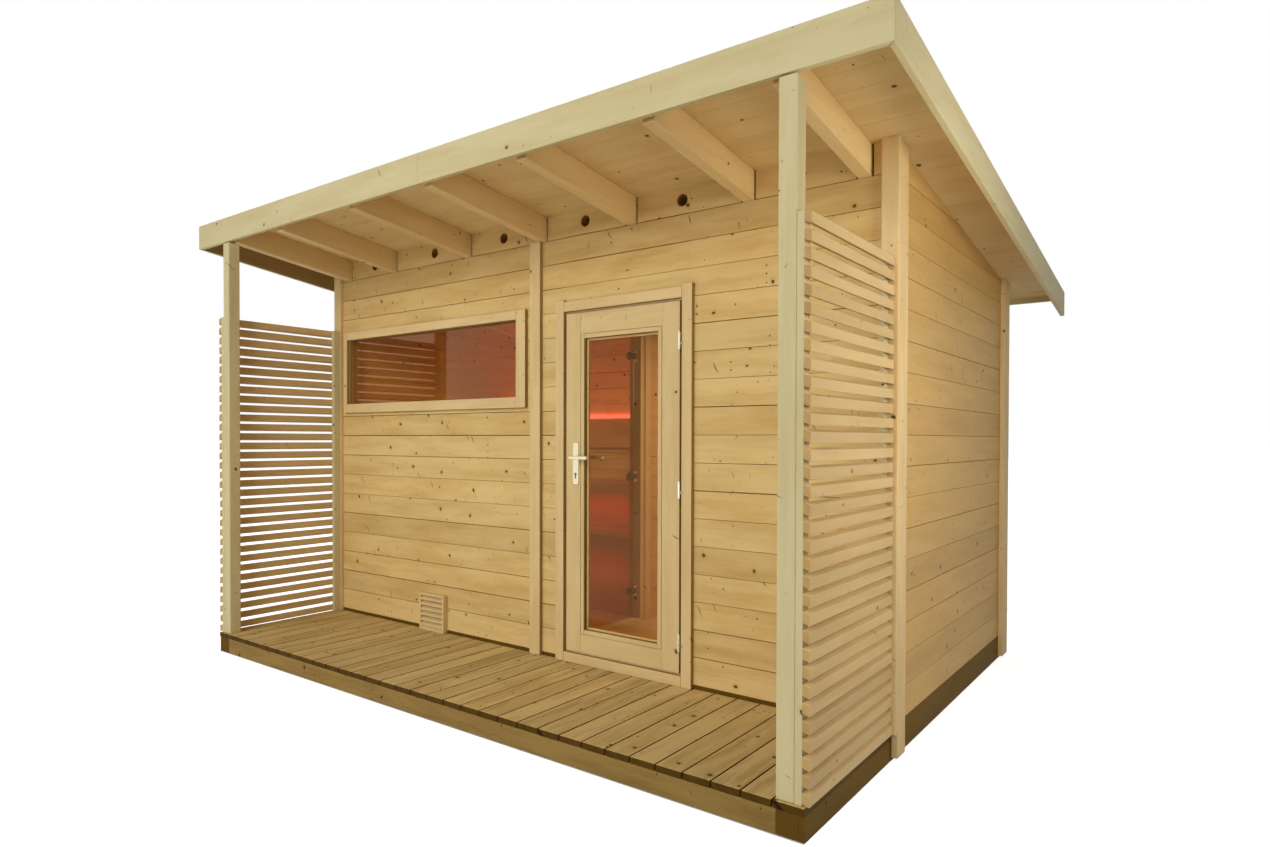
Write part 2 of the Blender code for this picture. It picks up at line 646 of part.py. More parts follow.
def build_corner_trims():
    """L-shaped corner covers: a face board with a return board on the side wall."""
    outer = HALF_WIDTH + SEAT + CORNER_RETURN_THICKNESS
    for side, side_word in ((-1, "left"), (1, "right")):
        for y_face, direction, place in ((WALL_FACE, -1, "front"), (REAR_FACE, 1, "rear")):
            face_low = DECK_TOP + SEAT if place == "front" else CORNER_GROUND_GAP
            near = y_face + direction * SEAT
            far = near + direction * TRIM_THICKNESS
            deep = y_face - direction * CORNER_RETURN_WIDTH
            board = bmesh.new()
            xs = sorted((side * outer, side * (outer - CORNER_BOARD_WIDTH)))
            ys = sorted((near, far))
            add_between(board, rectangle(xs[0], xs[1], ys[0], ys[1]), level(face_low),
                        below(roof_underside, SEAT))
            cover = add_object("corner_trim_" + place + "_" + side_word, board, SPRUCE)
            back = bmesh.new()
            xs = sorted((side * outer, side * (outer - CORNER_RETURN_THICKNESS)))
            ys = sorted((deep, near + direction * CORNER_OVERLAP))
            add_between(back, rectangle(xs[0], xs[1], ys[0], ys[1]), level(CORNER_GROUND_GAP),
                        below(roof_underside, SEAT))
            combine(cover, cutter("corner_return_" + place + "_" + side_word, back), "UNION")


def build_centre_trim():
    half = CENTRE_TRIM_WIDTH / 2
    strip = between("centre_trim", rectangle(PARTITION_CENTRE - half, PARTITION_CENTRE + half,
                                             WALL_FACE - SEAT - TRIM_THICKNESS, WALL_FACE - SEAT),
                    level(DECK_TOP + SEAT), below(rafter_bottom, SEAT), SPRUCE)
    ease_edges(strip, TRIM_ARRIS)


def build_door():
    inner = (DOOR_LEFT - DOOR_CLEARANCE, DOOR_RIGHT + DOOR_CLEARANCE,
             DOOR_BOTTOM - DOOR_CLEARANCE, DOOR_TOP + DOOR_CLEARANCE)
    ring("door_frame", (FRAME_LEFT, FRAME_RIGHT, WALL_BOTTOM, FRAME_TOP), inner,
         WALL_FACE, WALL_BACK, SPRUCE)
    trim_front = WALL_FACE - SEAT - TRIM_THICKNESS
    trim_left = DOOR_LEFT - DOOR_TRIM_LAP
    trim_right = DOOR_RIGHT + DOOR_TRIM_LAP + DOOR_TRIM_HINGE_ROOM
    trim_top = DOOR_TOP + DOOR_TRIM_LAP
    head = trim_top + DOOR_TRIM_WIDTH - DOOR_TRIM_HEAD_CUT
    left = trim_left - DOOR_TRIM_WIDTH
    right = trim_right + DOOR_TRIM_WIDTH
    foot = DECK_TOP + SEAT
    sill = DOOR_BOTTOM - DOOR_TRIM_LAP + DOOR_TRIM_HEAD_CUT
    horn = head + DOOR_TRIM_HORN
    points = [(left, foot), (right, foot), (right, horn), (trim_right, horn), (trim_right, head),
              (trim_left, head), (trim_left, horn), (left, horn),
              (trim_left, sill), (trim_right, sill), (trim_right, trim_top), (trim_left, trim_top)]
    sides = [(0, 1, 9, 8), (1, 2, 3, 4, 10, 9), (4, 5, 11, 10), (5, 6, 7, 0, 8, 11)]
    trim = flat_plate("door_trim", points, sides, trim_front, WALL_FACE - SEAT, SPRUCE)
    ease_edges(trim, TRIM_ARRIS)

    axis = (DOOR_RIGHT + HINGE_AXIS_OUTWARD, DOOR_FRONT - HINGE_AXIS_FORWARD, DOOR_BOTTOM)
    swing = pivot("door_pivot", axis)
    opening = (DOOR_LEFT + STILE_WIDTH, DOOR_RIGHT - STILE_WIDTH - HINGE_STILE_EXTRA,
               DOOR_BOTTOM + BOTTOM_RAIL_WIDTH, DOOR_TOP - RAIL_WIDTH)
    leaf = ring("door_leaf", (DOOR_LEFT, DOOR_RIGHT, DOOR_BOTTOM, DOOR_TOP), opening,
                DOOR_FRONT, DOOR_FRONT + DOOR_THICKNESS, SPRUCE, swing)
    middle = DOOR_FRONT + DOOR_THICKNESS / 2
    rebate = bmesh.new()
    depth = GLASS_THICKNESS / 2 + SEAT
    lip = GLASS_LAP
    add_block(rebate, (opening[0] - lip, middle - depth, opening[2] - lip),
              (opening[1] + lip, middle + depth, opening[3] + lip))
    combine(leaf, cutter("glass_groove", rebate), "DIFFERENCE")
    handle_x = DOOR_LEFT + HANDLE_BACKSET
    bore = bmesh.new()
    bore_radius = SPINDLE_RADIUS + SPINDLE_CLEARANCE
    add_rod(bore, (handle_x, DOOR_FRONT - CUT_REACH, HANDLE_HEIGHT),
            (handle_x, DOOR_FRONT + DOOR_THICKNESS + CUT_REACH, HANDLE_HEIGHT), bore_radius, 16)
    bore_tool = cutter("spindle_bore", bore)
    combine(leaf, bore_tool, "DIFFERENCE")
    block("door_glass", (opening[0] - lip + SEAT, middle - GLASS_THICKNESS / 2, opening[2] - lip + SEAT),
          (opening[1] + lip - SEAT, middle + GLASS_THICKNESS / 2, opening[3] + lip - SEAT), GLASS, swing)

    for place, height in zip(("bottom", "middle", "top"), HINGE_HEIGHTS):
        build_hinge(place, height, axis, trim_right, trim_front, swing)
    build_handle(handle_x, swing, bore_tool)


def build_hinge(place, height, axis, trim_inner, trim_front, swing):
    """Lift-off hinge: the lower knuckle is on the casing, the upper one on the leaf."""
    thick = HINGE_PLATE_THICKNESS
    for word, low, high in (("lower", height - HINGE_LENGTH / 2, height - SEAT / 2),
                            ("upper", height + SEAT / 2, height + HINGE_LENGTH / 2)):
        shape = bmesh.new()
        add_rod(shape, (axis[0], axis[1], low), (axis[0], axis[1], high), HINGE_RADIUS, 16)
        carrier = swing if word == "upper" else None
        hinge = add_object("door_hinge_" + place + "_" + word, shape, METAL, carrier)
        wing = bmesh.new()
        if word == "lower":
            add_block(wing, (axis[0], trim_front - SEAT - thick, low),
                      (trim_inner + HINGE_PLATE_WIDTH, trim_front - SEAT, high))
        else:
            near = DOOR_FRONT - SEAT
            end = DOOR_RIGHT - HINGE_PLATE_WIDTH
            profile = [(axis[0] - thick / 2, axis[1]), (axis[0] + thick / 2, axis[1]),
                       (axis[0] + thick / 2, near - thick), (DOOR_RIGHT - HINGE_PLATE_EDGE, near),
                       (end, near), (end, near - thick),
                       (axis[0] - thick / 2, near - thick)]
            add_between(wing, profile, level(low), level(high))
        combine(hinge, cutter("hinge_wing_" + place + "_" + word, wing), "UNION")


def build_handle(handle_x, swing, bore_tool):
    """Long back plates on both faces of the leaf and a sprung pair of levers."""
    faces = ((DOOR_FRONT, -1), (DOOR_FRONT + DOOR_THICKNESS, 1))
    half = PLATE_WIDTH / 2
    for (face, direction), word in zip(faces, ("outside", "inside")):
        near = face + direction * SEAT
        far = near + direction * PLATE_THICKNESS
        shape = bmesh.new()
        low, high = sorted((near, far))
        add_block(shape, (handle_x - half, low, HANDLE_HEIGHT - PLATE_BOTTOM),
                  (handle_x + half, high, HANDLE_HEIGHT + PLATE_TOP))
        plate = add_object("handle_plate_" + word, shape, METAL, swing)
        ease_edges(plate, PLATE_ARRIS)
        combine(plate, bore_tool, "DIFFERENCE")

    lever_pivot = pivot("lever_pivot", (handle_x, DOOR_FRONT, HANDLE_HEIGHT))
    lever_pivot.parent = swing
    lever_pivot.matrix_parent_inverse = swing.matrix_world.inverted()
    spindle = bmesh.new()
    outside = DOOR_FRONT - LEVER_STANDOFF
    inside = DOOR_FRONT + DOOR_THICKNESS + LEVER_STANDOFF
    add_rod(spindle, (handle_x, outside, HANDLE_HEIGHT), (handle_x, inside, HANDLE_HEIGHT),
            SPINDLE_RADIUS, 16)
    lever = add_object("door_lever", spindle, METAL, lever_pivot)
    for (face, direction), centre in zip(faces, (outside, inside)):
        word = "outside" if direction < 0 else "inside"
        neck = bmesh.new()
        collar = face + direction * (PLATE_THICKNESS + SEAT + SPINDLE_CLEARANCE)
        add_rod(neck, (handle_x, collar, HANDLE_HEIGHT), (handle_x, centre, HANDLE_HEIGHT), NECK_RADIUS, 20)
        combine(lever, cutter("lever_neck_" + word, neck), "UNION")
        grip = bmesh.new()
        half_depth = GRIP_DEPTH / 2
        half_height = GRIP_HEIGHT / 2
        grip_start = handle_x - NECK_RADIUS - GRIP_OVERLAP
        add_block(grip, (grip_start, centre - half_depth, HANDLE_HEIGHT - half_height),
                  (handle_x + LEVER_REACH, centre + half_depth, HANDLE_HEIGHT + half_height))
        bmesh.ops.bevel(grip, geom=grip.edges[:], offset=half_depth * GRIP_ROUNDING, segments=3, profile=0.5,
                        affect="EDGES", material=-1)
        combine(lever, cutter("lever_grip_" + word, grip), "UNION")


def build_window():
    frame_inner = (WINDOW_LEFT, WINDOW_RIGHT, WINDOW_BOTTOM, WINDOW_TOP)
    width = WINDOW_FRAME_WIDTH
    frame = ring("window_frame", (WINDOW_LEFT - width, WINDOW_RIGHT + width, WINDOW_BOTTOM - width,
                                  WINDOW_TOP + width), frame_inner, WALL_FACE, WALL_BACK, SPRUCE)
    trim = ring("window_trim", (WINDOW_LEFT - WINDOW_TRIM_LEFT, WINDOW_RIGHT + WINDOW_TRIM_RIGHT,
                                WINDOW_BOTTOM - WINDOW_TRIM_BOTTOM, WINDOW_TOP + WINDOW_TRIM_TOP),
                frame_inner, WALL_FACE - SEAT - TRIM_THICKNESS, WALL_FACE - SEAT, SPRUCE)
    ease_edges(trim, TRIM_ARRIS)
    glass_front = WALL_FACE + WINDOW_GLASS_SETBACK
    glass_back = glass_front + GLASS_THICKNESS
    groove = bmesh.new()
    lip = GLASS_LAP
    add_block(groove, (WINDOW_LEFT - lip, glass_front - SEAT, WINDOW_BOTTOM - lip),
              (WINDOW_RIGHT + lip, glass_back + SEAT, WINDOW_TOP + lip))
    combine(frame, cutter("window_groove", groove), "DIFFERENCE")
    block("window_glass", (WINDOW_LEFT - lip + SEAT, glass_front, WINDOW_BOTTOM - lip + SEAT),
          (WINDOW_RIGHT + lip - SEAT, glass_back, WINDOW_TOP + lip - SEAT), GLASS)


def build_vent():
    """Louvred air inlet low on the front wall."""
    left = VENT_LEFT
    right = VENT_LEFT + VENT_WIDTH
    bottom = DECK_TOP + SEAT
    top = bottom + VENT_HEIGHT
    front = WALL_FACE - SEAT - VENT_DEPTH
    back = WALL_FACE - SEAT
    grille = ring("vent_grille", (left, right, bottom, top),
                  (left + VENT_SIDE, right - VENT_SIDE, bottom + VENT_FOOT, top - VENT_HEAD),
                  front, back, SPRUCE)
    louvres = bmesh.new()
    clear = VENT_HEIGHT - VENT_FOOT - VENT_HEAD
    pitch = clear / VENT_LOUVRES
    lean = pitch * VENT_LOUVRE_LEAN
    for index in range(VENT_LOUVRES):
        z = bottom + VENT_FOOT + pitch * (index + 0.5)
        half = VENT_LOUVRE_THICKNESS / 2
        near = front + VENT_LOUVRE_RECESS
        far = back - VENT_LOUVRE_RECESS
        profile = [(near, z - lean / 2 - half), (near, z - lean / 2 + half),
                   (far, z + lean / 2 + half), (far, z + lean / 2 - half)]
        start = left + VENT_SIDE - VENT_LOUVRE_LAP
        face = louvres.faces.new([louvres.verts.new((start, y, height)) for y, height in profile])
        raised = bmesh.ops.extrude_face_region(louvres, geom=[face])
        moved = [item for item in raised["geom"] if isinstance(item, bmesh.types.BMVert)]
        length = VENT_WIDTH - 2 * VENT_SIDE + 2 * VENT_LOUVRE_LAP
        bmesh.ops.translate(louvres, verts=moved, vec=(length, 0.0, 0.0))
    combine(grille, cutter("vent_louvres", louvres), "UNION")


def build_benches():
    """Two stepped benches across the hot room, with the backrest and its light."""
    left = -ROOM_HALF + SEAT
    right = PARTITION_LEFT - SEAT
    for name, top, front, back, foot in (
            ("upper_bench", UPPER_BENCH_TOP, WALL_FACE + UPPER_BENCH_FRONT, REAR_INNER - SEAT,
             LOWER_BENCH_TOP + SEAT),
            ("lower_bench", LOWER_BENCH_TOP, WALL_FACE + LOWER_BENCH_FRONT,
             WALL_FACE + UPPER_BENCH_FRONT + BENCH_LAP, WALL_BOTTOM)):
        shape = bmesh.new()
        add_block(shape, (left, front, top - BENCH_APRON_HEIGHT), (right, front + BENCH_SLAT_THICKNESS, top))
        start = front + BENCH_SLAT_THICKNESS + BENCH_SLAT_GAP
        count = int((back - start + BENCH_SLAT_GAP) / (BENCH_SLAT_WIDTH + BENCH_SLAT_GAP))
        pitch = (back - start + BENCH_SLAT_GAP) / count
        for index in range(count):
            y = start + index * pitch
            add_block(shape, (left, y, top - BENCH_SLAT_THICKNESS), (right, y + pitch - BENCH_SLAT_GAP, top))
        bench = add_object(name, shape, BENCH_WOOD)
        bearers = bmesh.new()
        middle = (left + right) / 2
        inset = BENCH_SLAT_GAP
        for x in (left + inset, middle - BENCH_BEARER_WIDTH / 2, right - inset - BENCH_BEARER_WIDTH):
            add_block(bearers, (x, front + BENCH_SLAT_THICKNESS / 2,
                                top - BENCH_APRON_HEIGHT - BENCH_BEARER_DROP),
                      (x + BENCH_BEARER_WIDTH, back - inset, top - BENCH_SLAT_THICKNESS / 2))
        combine(bench, cutter(name + "_bearers", bearers), "UNION")
        riser = bmesh.new()
        y = front + RISER_SETBACK
        add_block(riser, (left + SEAT, y, foot),
                  (right - SEAT, y + RISER_THICKNESS, top - BENCH_APRON_HEIGHT * (1 - RISER_INTO_APRON)))
        combine(bench, cutter(name + "_riser", riser), "UNION")
    back_face = REAR_INNER - BACKREST_STANDOFF
    shape = bmesh.new()
    add_block(shape, (left, back_face - BACKREST_THICKNESS, BACKREST_BOTTOM),
              (right, back_face, BACKREST_BOTTOM + BACKREST_HEIGHT))
    backrest = add_object("backrest", shape, BENCH_WOOD)
    blocks = bmesh.new()
    inset = BACKREST_BLOCK_INSET
    width = BACKREST_BLOCK_WIDTH
    for x in (left + inset, (left + right) / 2, right - inset - width):
        add_block(blocks, (x, back_face - CORNER_OVERLAP, BACKREST_BOTTOM + BACKREST_BLOCK_MARGIN),
                  (x + width, REAR_INNER - SEAT, BACKREST_BOTTOM + BACKREST_HEIGHT - BACKREST_BLOCK_MARGIN))
    combine(backrest, cutter("backrest_blocks", blocks), "UNION")
    strip_bottom = BACKREST_BOTTOM + BACKREST_HEIGHT + LIGHT_STRIP_GAP
    block("light_strip", (left, REAR_INNER - SEAT - LIGHT_STRIP_SIZE, strip_bottom),
          (right, REAR_INNER - SEAT, strip_bottom + LIGHT_STRIP_SIZE), GLOW)


for old in list(bpy.data.objects):
    bpy.data.objects.remove(old, do_unlink=True)

SPRUCE = material("planed_spruce", (0.72, 0.52, 0.28), 0.62)
TREATED = material("impregnated_timber", (0.36, 0.24, 0.12), 0.75)
BENCH_WOOD = material("bench_timber", (0.62, 0.44, 0.26), 0.60)
GLASS = material("glass", (0.80, 0.84, 0.84), 0.05, alpha=0.35)
METAL = material("satin_steel", (0.75, 0.75, 0.72), 0.35, metallic=1.0)
FELT = material("roofing_felt", (0.12, 0.12, 0.12), 0.90)
GLOW = material("light_strip", (1.0, 0.25, 0.18), 0.50, glow=(1.0, 0.20, 0.12))

build_ground_frames()
build_floors()
build_front_wall()
build_other_walls()
build_inner_door(build_partition())
build_roof()
build_posts_and_screens()
build_corner_trims()
build_centre_trim()
build_door()
build_window()
build_vent()
build_benches()
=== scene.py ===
"""Garden sauna cabin with a roofed terrace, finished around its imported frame.

Metres, +Z up. The front faces -Y and +X is to the right as seen from the front.
"""
import math
import random

import bmesh
import bpy
from mathutils import Matrix, Vector


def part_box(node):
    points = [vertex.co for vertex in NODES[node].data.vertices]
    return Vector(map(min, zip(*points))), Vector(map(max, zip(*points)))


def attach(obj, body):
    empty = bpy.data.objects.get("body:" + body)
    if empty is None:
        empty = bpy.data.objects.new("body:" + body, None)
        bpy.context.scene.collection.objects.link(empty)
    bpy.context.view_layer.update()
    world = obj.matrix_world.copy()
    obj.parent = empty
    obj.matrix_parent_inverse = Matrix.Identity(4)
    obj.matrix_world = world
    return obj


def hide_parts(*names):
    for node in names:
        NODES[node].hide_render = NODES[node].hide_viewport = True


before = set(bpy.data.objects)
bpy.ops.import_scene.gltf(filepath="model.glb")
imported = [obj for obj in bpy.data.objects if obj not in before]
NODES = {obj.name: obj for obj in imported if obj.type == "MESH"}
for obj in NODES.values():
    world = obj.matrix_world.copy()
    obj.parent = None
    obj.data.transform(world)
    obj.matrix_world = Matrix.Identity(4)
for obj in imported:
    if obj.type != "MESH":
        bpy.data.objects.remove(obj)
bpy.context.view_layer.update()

CHANCE = random.Random(11)

X, Y, Z = 0, 1, 2

# Camera, set where the photograph was taken from
CAMERA_PLACE = (3.0556, -4.031, 1.3308)
CAMERA_YAW = math.radians(36.833)
CAMERA_PITCH = math.radians(-0.727)
CAMERA_ROLL = math.radians(0.134)
CAMERA_LENS = 22.365
CAMERA_SHIFT = (0.00287, 0.02035)

# Lines and levels of the frame
WALL_FACE = -0.7825
WALL_THICKNESS = 0.090
WALL_BACK = WALL_FACE + WALL_THICKNESS
WALL_BOTTOM = 0.137
REAR_FACE = 1.2555
REAR_INNER = REAR_FACE - WALL_THICKNESS
HALF_WIDTH = 1.968
ROOM_HALF = HALF_WIDTH - WALL_THICKNESS
DECK_TOP = 0.117
DECK_BOTTOM = 0.0893
DECK_FRONT = -1.6285
ROOF_AT_WALL = 2.568
ROOF_FALL = 0.132
SHEATHING = 0.016
RAFTER_DEPTH = 0.136
RAFTER_WIDTH = 0.058
RAFTERS = (-1.8445, -1.345, -0.62, 0.0, 0.62, 1.294, 1.8445)
RIM_DEPTH = 0.100
RIM_THICKNESS = 0.028
FASCIA_JOINT = -0.031
VENT_HOLE_PITCH = 0.62
VENT_HOLE_DROP = 0.067
SEAT = 0.0003

# Boards
BOARD_PITCH = 0.135
JOINT_WIDTH = 0.0042
JOINT_DEPTH = 0.0080
SOFFIT_PITCH = 0.1285
SOFFIT_JOINT_WIDTH = 0.0016
SOFFIT_JOINT_DEPTH = 0.002
SOFFIT_START = -0.4100
DECK_PITCH = 0.1205
DECK_BOARD = 0.1155
SLAT_PITCH = 0.0600
SLAT_COUNT = 33
SLAT_HEIGHT = 0.039
SLAT_THICKNESS = 0.027
SLAT_FALL = 0.009
SLAT_START = DECK_TOP + 0.001
BATTEN_WIDTH = 0.045
BATTEN_THICKNESS = 0.027
TRIM_THICKNESS = 0.024
CORNER_FACE_WIDTH = 0.074
CORNER_RETURN_WIDTH = 0.098
CORNER_RETURN_THICKNESS = 0.0277
CORNER_OUT = 0.028
CORNER_FOOT = 0.015
FELT_SHEETS = 4
FELT_LAP = 0.08
FELT_THICKNESS = 0.0015


# Camera
def set_camera():
    """A camera looking along the direction that yaw, pitch and roll give."""
    yaw, pitch, roll = CAMERA_YAW, CAMERA_PITCH, CAMERA_ROLL
    ahead = Vector((-math.sin(yaw) * math.cos(pitch), math.cos(yaw) * math.cos(pitch), math.sin(pitch)))
    right = Vector((math.cos(yaw), math.sin(yaw), 0.0))
    up = right.cross(ahead)
    right_rolled = math.cos(roll) * right + math.sin(roll) * up
    up_rolled = math.cos(roll) * up - math.sin(roll) * right
    turn = Matrix((right_rolled, up_rolled, -ahead)).transposed().to_4x4()
    data = bpy.data.cameras.new("camera")
    data.sensor_width = 36.0
    data.sensor_fit = "HORIZONTAL"
    data.lens = CAMERA_LENS
    data.shift_x, data.shift_y = CAMERA_SHIFT
    camera = bpy.data.objects.new("camera", data)
    camera.matrix_world = Matrix.Translation(CAMERA_PLACE) @ turn
    bpy.context.collection.objects.link(camera)
    bpy.context.scene.camera = camera


set_camera()


# Materials
TIMES_PLUS = dict(operation="MULTIPLY_ADD")  # first x second + third
SOFT = dict(interpolation_type="SMOOTHSTEP")  # a step with soft ends
COLOURS = dict(give=2, data_type="RGBA")  # a mix of two colours


def linear(code):
    """Turns an sRGB hex colour into the linear colour that a shader reads."""
    parts = [int(code[place:place + 2], 16) / 255 for place in (1, 3, 5)]
    return (*[part / 12.92 if part <= 0.04045 else ((part + 0.055) / 1.055) ** 2.4 for part in parts], 1.0)


def connect(node, inputs):
    """Links the inputs that are given as sockets, and sets the others."""
    for key, value in inputs.items():
        if isinstance(value, bpy.types.NodeSocket):
            node.id_data.links.new(value, node.inputs[key])
        else:
            node.inputs[key].default_value = value


def add(tree, kind, inputs=(), give=0, **settings):
    """Adds a node and gives one of its outputs; inputs are named, or listed in the node's order."""
    made = tree.nodes.new("ShaderNode" + kind)
    for key, value in settings.items():
        setattr(made, key, value)
    connect(made, inputs if isinstance(inputs, dict) else dict(enumerate(inputs)))
    return made.outputs[give]


def new_material(name):
    made = bpy.data.materials.new(name)
    made.use_nodes = True
    return made, made.node_tree, made.node_tree.nodes["Principled BSDF"]


def lay_out_boards(tree, grain, boards):
    """Places along and across the grain, the same two a little swayed, and each board's tone and hue."""
    place = add(tree, "TexCoord", give="Object")
    split = add(tree, "SeparateXYZ", [place]).node.outputs
    first, second = [axis for axis in (X, Y, Z) if axis != grain]
    across = add(tree, "Math", [split[first], 1.0, split[second]], **TIMES_PLUS)
    along = split[grain]
    if boards:
        axis, start, pitch = boards
        counted = add(tree, "Math", [split[axis], 1.0 / pitch, -start / pitch], **TIMES_PLUS)
        index = add(tree, "Math", [counted], operation="FLOOR")
        tone = add(tree, "TexWhiteNoise", {"W": index}, give="Value", noise_dimensions="1D")
        hue = add(tree, "SeparateColor", [tone.node.outputs["Color"]], give=1)
        along = add(tree, "Math", [tone, 17.0, along], **TIMES_PLUS)
        across = add(tree, "Math", [index, 0.731, across], **TIMES_PLUS)
    else:
        tone = add(tree, "TexNoise", {"Vector": place, "Scale": 0.9, "Detail": 0.0}, give="Fac")
        hue = tone
    flat = add(tree, "CombineXYZ", [along, across, 0.0])
    sway = add(tree, "TexNoise", {"Vector": flat, "Scale": 11.0, "Detail": 1.0}, give="Color",
               noise_dimensions="2D")
    sway = add(tree, "VectorMath", [sway, (0.5, 0.5, 0.5)], operation="SUBTRACT")
    sway = add(tree, "VectorMath", {0: sway, "Scale": 0.024}, operation="SCALE")
    grid = add(tree, "VectorMath", [flat, sway], operation="ADD")
    return along, across, grid, tone, hue


def spots(tree, grid, cells, share, radius, turn=0.0):
    """Spots in a share of the cells of a grid; gives how far a point is from one, in its radii.

    cells are counted per metre along and across the grain, and radius is in cells.
    """
    placed = add(tree, "Mapping", {"Vector": grid, "Rotation": (0.0, 0.0, turn),
                                   "Scale": (1 / cells[0], 1 / cells[1], 1.0)}, vector_type="TEXTURE")
    apart = add(tree, "TexVoronoi", {"Vector": placed, "Scale": 1.0, "Randomness": 1.0}, give="Distance",
                voronoi_dimensions="2D")
    chance = add(tree, "SeparateColor", [apart.node.outputs["Color"]])
    wide = add(tree, "MapRange", [chance, 1.0 - share, 1.0, radius * 0.01, radius])
    return add(tree, "Math", [apart, wide], operation="DIVIDE")


def rows_of_knots(tree, along, across, knots):
    """Small knots in a row across a board, where the tree had a ring of branches."""
    rows, places = 2.1, 26.0
    whorl = add(tree, "Math", [along, rows, 0.0], **TIMES_PLUS)
    whorl = add(tree, "TexVoronoi", {"W": whorl, "Scale": 1.0}, give="Distance", voronoi_dimensions="1D")
    seed = add(tree, "SeparateColor", [whorl.node.outputs["Color"]], give=1)
    seed = add(tree, "Math", [seed, 40.0, 0.0], **TIMES_PLUS)
    rung = add(tree, "Math", [across, places, seed], **TIMES_PLUS)
    rung = add(tree, "TexVoronoi", {"W": rung, "Scale": 1.0}, give="Distance", voronoi_dimensions="1D")
    chance = add(tree, "SeparateColor", [rung.node.outputs["Color"]])
    wide = add(tree, "MapRange", [chance, 1.0 - knots, 1.0, 0.0005, 0.0060])
    apart = add(tree, "CombineXYZ", [add(tree, "Math", [whorl, 1 / rows, 0.0], **TIMES_PLUS),
                                     add(tree, "Math", [rung, 1 / places, 0.0], **TIMES_PLUS)])
    apart = add(tree, "VectorMath", [apart], give="Value", operation="LENGTH")
    apart = add(tree, "Math", [apart, wide], operation="DIVIDE")
    return add(tree, "MapRange", [apart, 0.6, 1.2, 0.9, 0.0], **SOFT)


def find_marks(tree, along, across, grid, knots, marks):
    """The cores of the larger knots, the bent grain round them, and how dark all marks are together."""
    # Knots up to 22 mm wide, and pin knots up to 7 mm
    reach = spots(tree, grid, (7.0, 7.0), knots, 0.078)
    core = add(tree, "MapRange", [reach, 0.75, 1.12, 1.0, 0.0], **SOFT)
    halo = add(tree, "MapRange", [reach, 0.9, 2.8, 0.45, 0.0], **SOFT)
    pins = spots(tree, grid, (12.0, 12.0), knots * 0.5, 0.040)
    pins = add(tree, "MapRange", [pins, 0.6, 1.2, 0.85, 0.0], **SOFT)
    # Slanted strokes up to 76 mm and 57 mm long where a branch ran across the board
    long_stroke = spots(tree, grid, (34.0, 5.0), marks * 0.10, 0.19, 0.5)
    long_stroke = add(tree, "MapRange", [long_stroke, 0.15, 1.05, 0.75, 0.0], **SOFT)
    short_stroke = spots(tree, grid, (40.0, 6.0), marks * 0.10, 0.17, -0.12)
    short_stroke = add(tree, "MapRange", [short_stroke, 0.15, 1.05, 0.60, 0.0], **SOFT)
    row = rows_of_knots(tree, along, across, knots)
    dark = pins
    for mark, weight in ((row, 1.0), (short_stroke, 1.0), (long_stroke, 1.0), (core, 0.9)):
        dark = add(tree, "Math", [mark, weight, dark], **TIMES_PLUS)
    return core, halo, dark


def growth_rings(tree, grid, halo, ring_count):
    """Late wood as contour lines of a noise drawn out along the grain, and the noise of soft patches."""
    drawn = add(tree, "Mapping", {"Vector": grid, "Scale": (0.55, 9.0, 1.0)})
    field = add(tree, "TexNoise", {"Vector": drawn, "Scale": 1.0, "Detail": 1.5, "Roughness": 0.40},
                give="Fac", noise_dimensions="2D")
    bent = add(tree, "Math", [halo, 0.30, field], **TIMES_PLUS)
    count = add(tree, "Math", [bent, ring_count, 0.0], **TIMES_PLUS)
    late = add(tree, "ValToRGB", [add(tree, "Math", [count], operation="FRACT")])
    stops = late.node.color_ramp.elements
    stops[0].color = (0.0, 0.0, 0.0, 1.0)
    stops[1].position = 0.72
    stops[1].color = (1.0, 1.0, 1.0, 1.0)
    stops.new(1.0).color = (0.0, 0.0, 0.0, 1.0)
    patches = add(tree, "Mapping", {"Vector": grid, "Scale": (1.8, 12.0, 1.0)})
    patch = add(tree, "TexNoise", {"Vector": patches, "Scale": 1.0, "Detail": 3.0, "Roughness": 0.55},
                give="Fac", noise_dimensions="2D")
    shown = add(tree, "MapRange", [patch, 0.38, 0.62, 0.15, 1.0])
    return add(tree, "Math", [late, shown], operation="MULTIPLY"), patch


def tint_by_turn(tree, axis, absolute, start, stop, first, last):
    """A tint that goes from first to last as a face turns towards an axis: painted shade, or darker end
    grain.
    """
    facing = add(tree, "SeparateXYZ", [add(tree, "TexCoord", give="Normal")], give=axis)
    if absolute:
        facing = add(tree, "Math", [facing], operation="ABSOLUTE")
    share = add(tree, "MapRange", [facing, start, stop, 0.0, 1.0])
    return add(tree, "Mix", {0: share, 6: linear(first), 7: linear(last)}, **COLOURS)


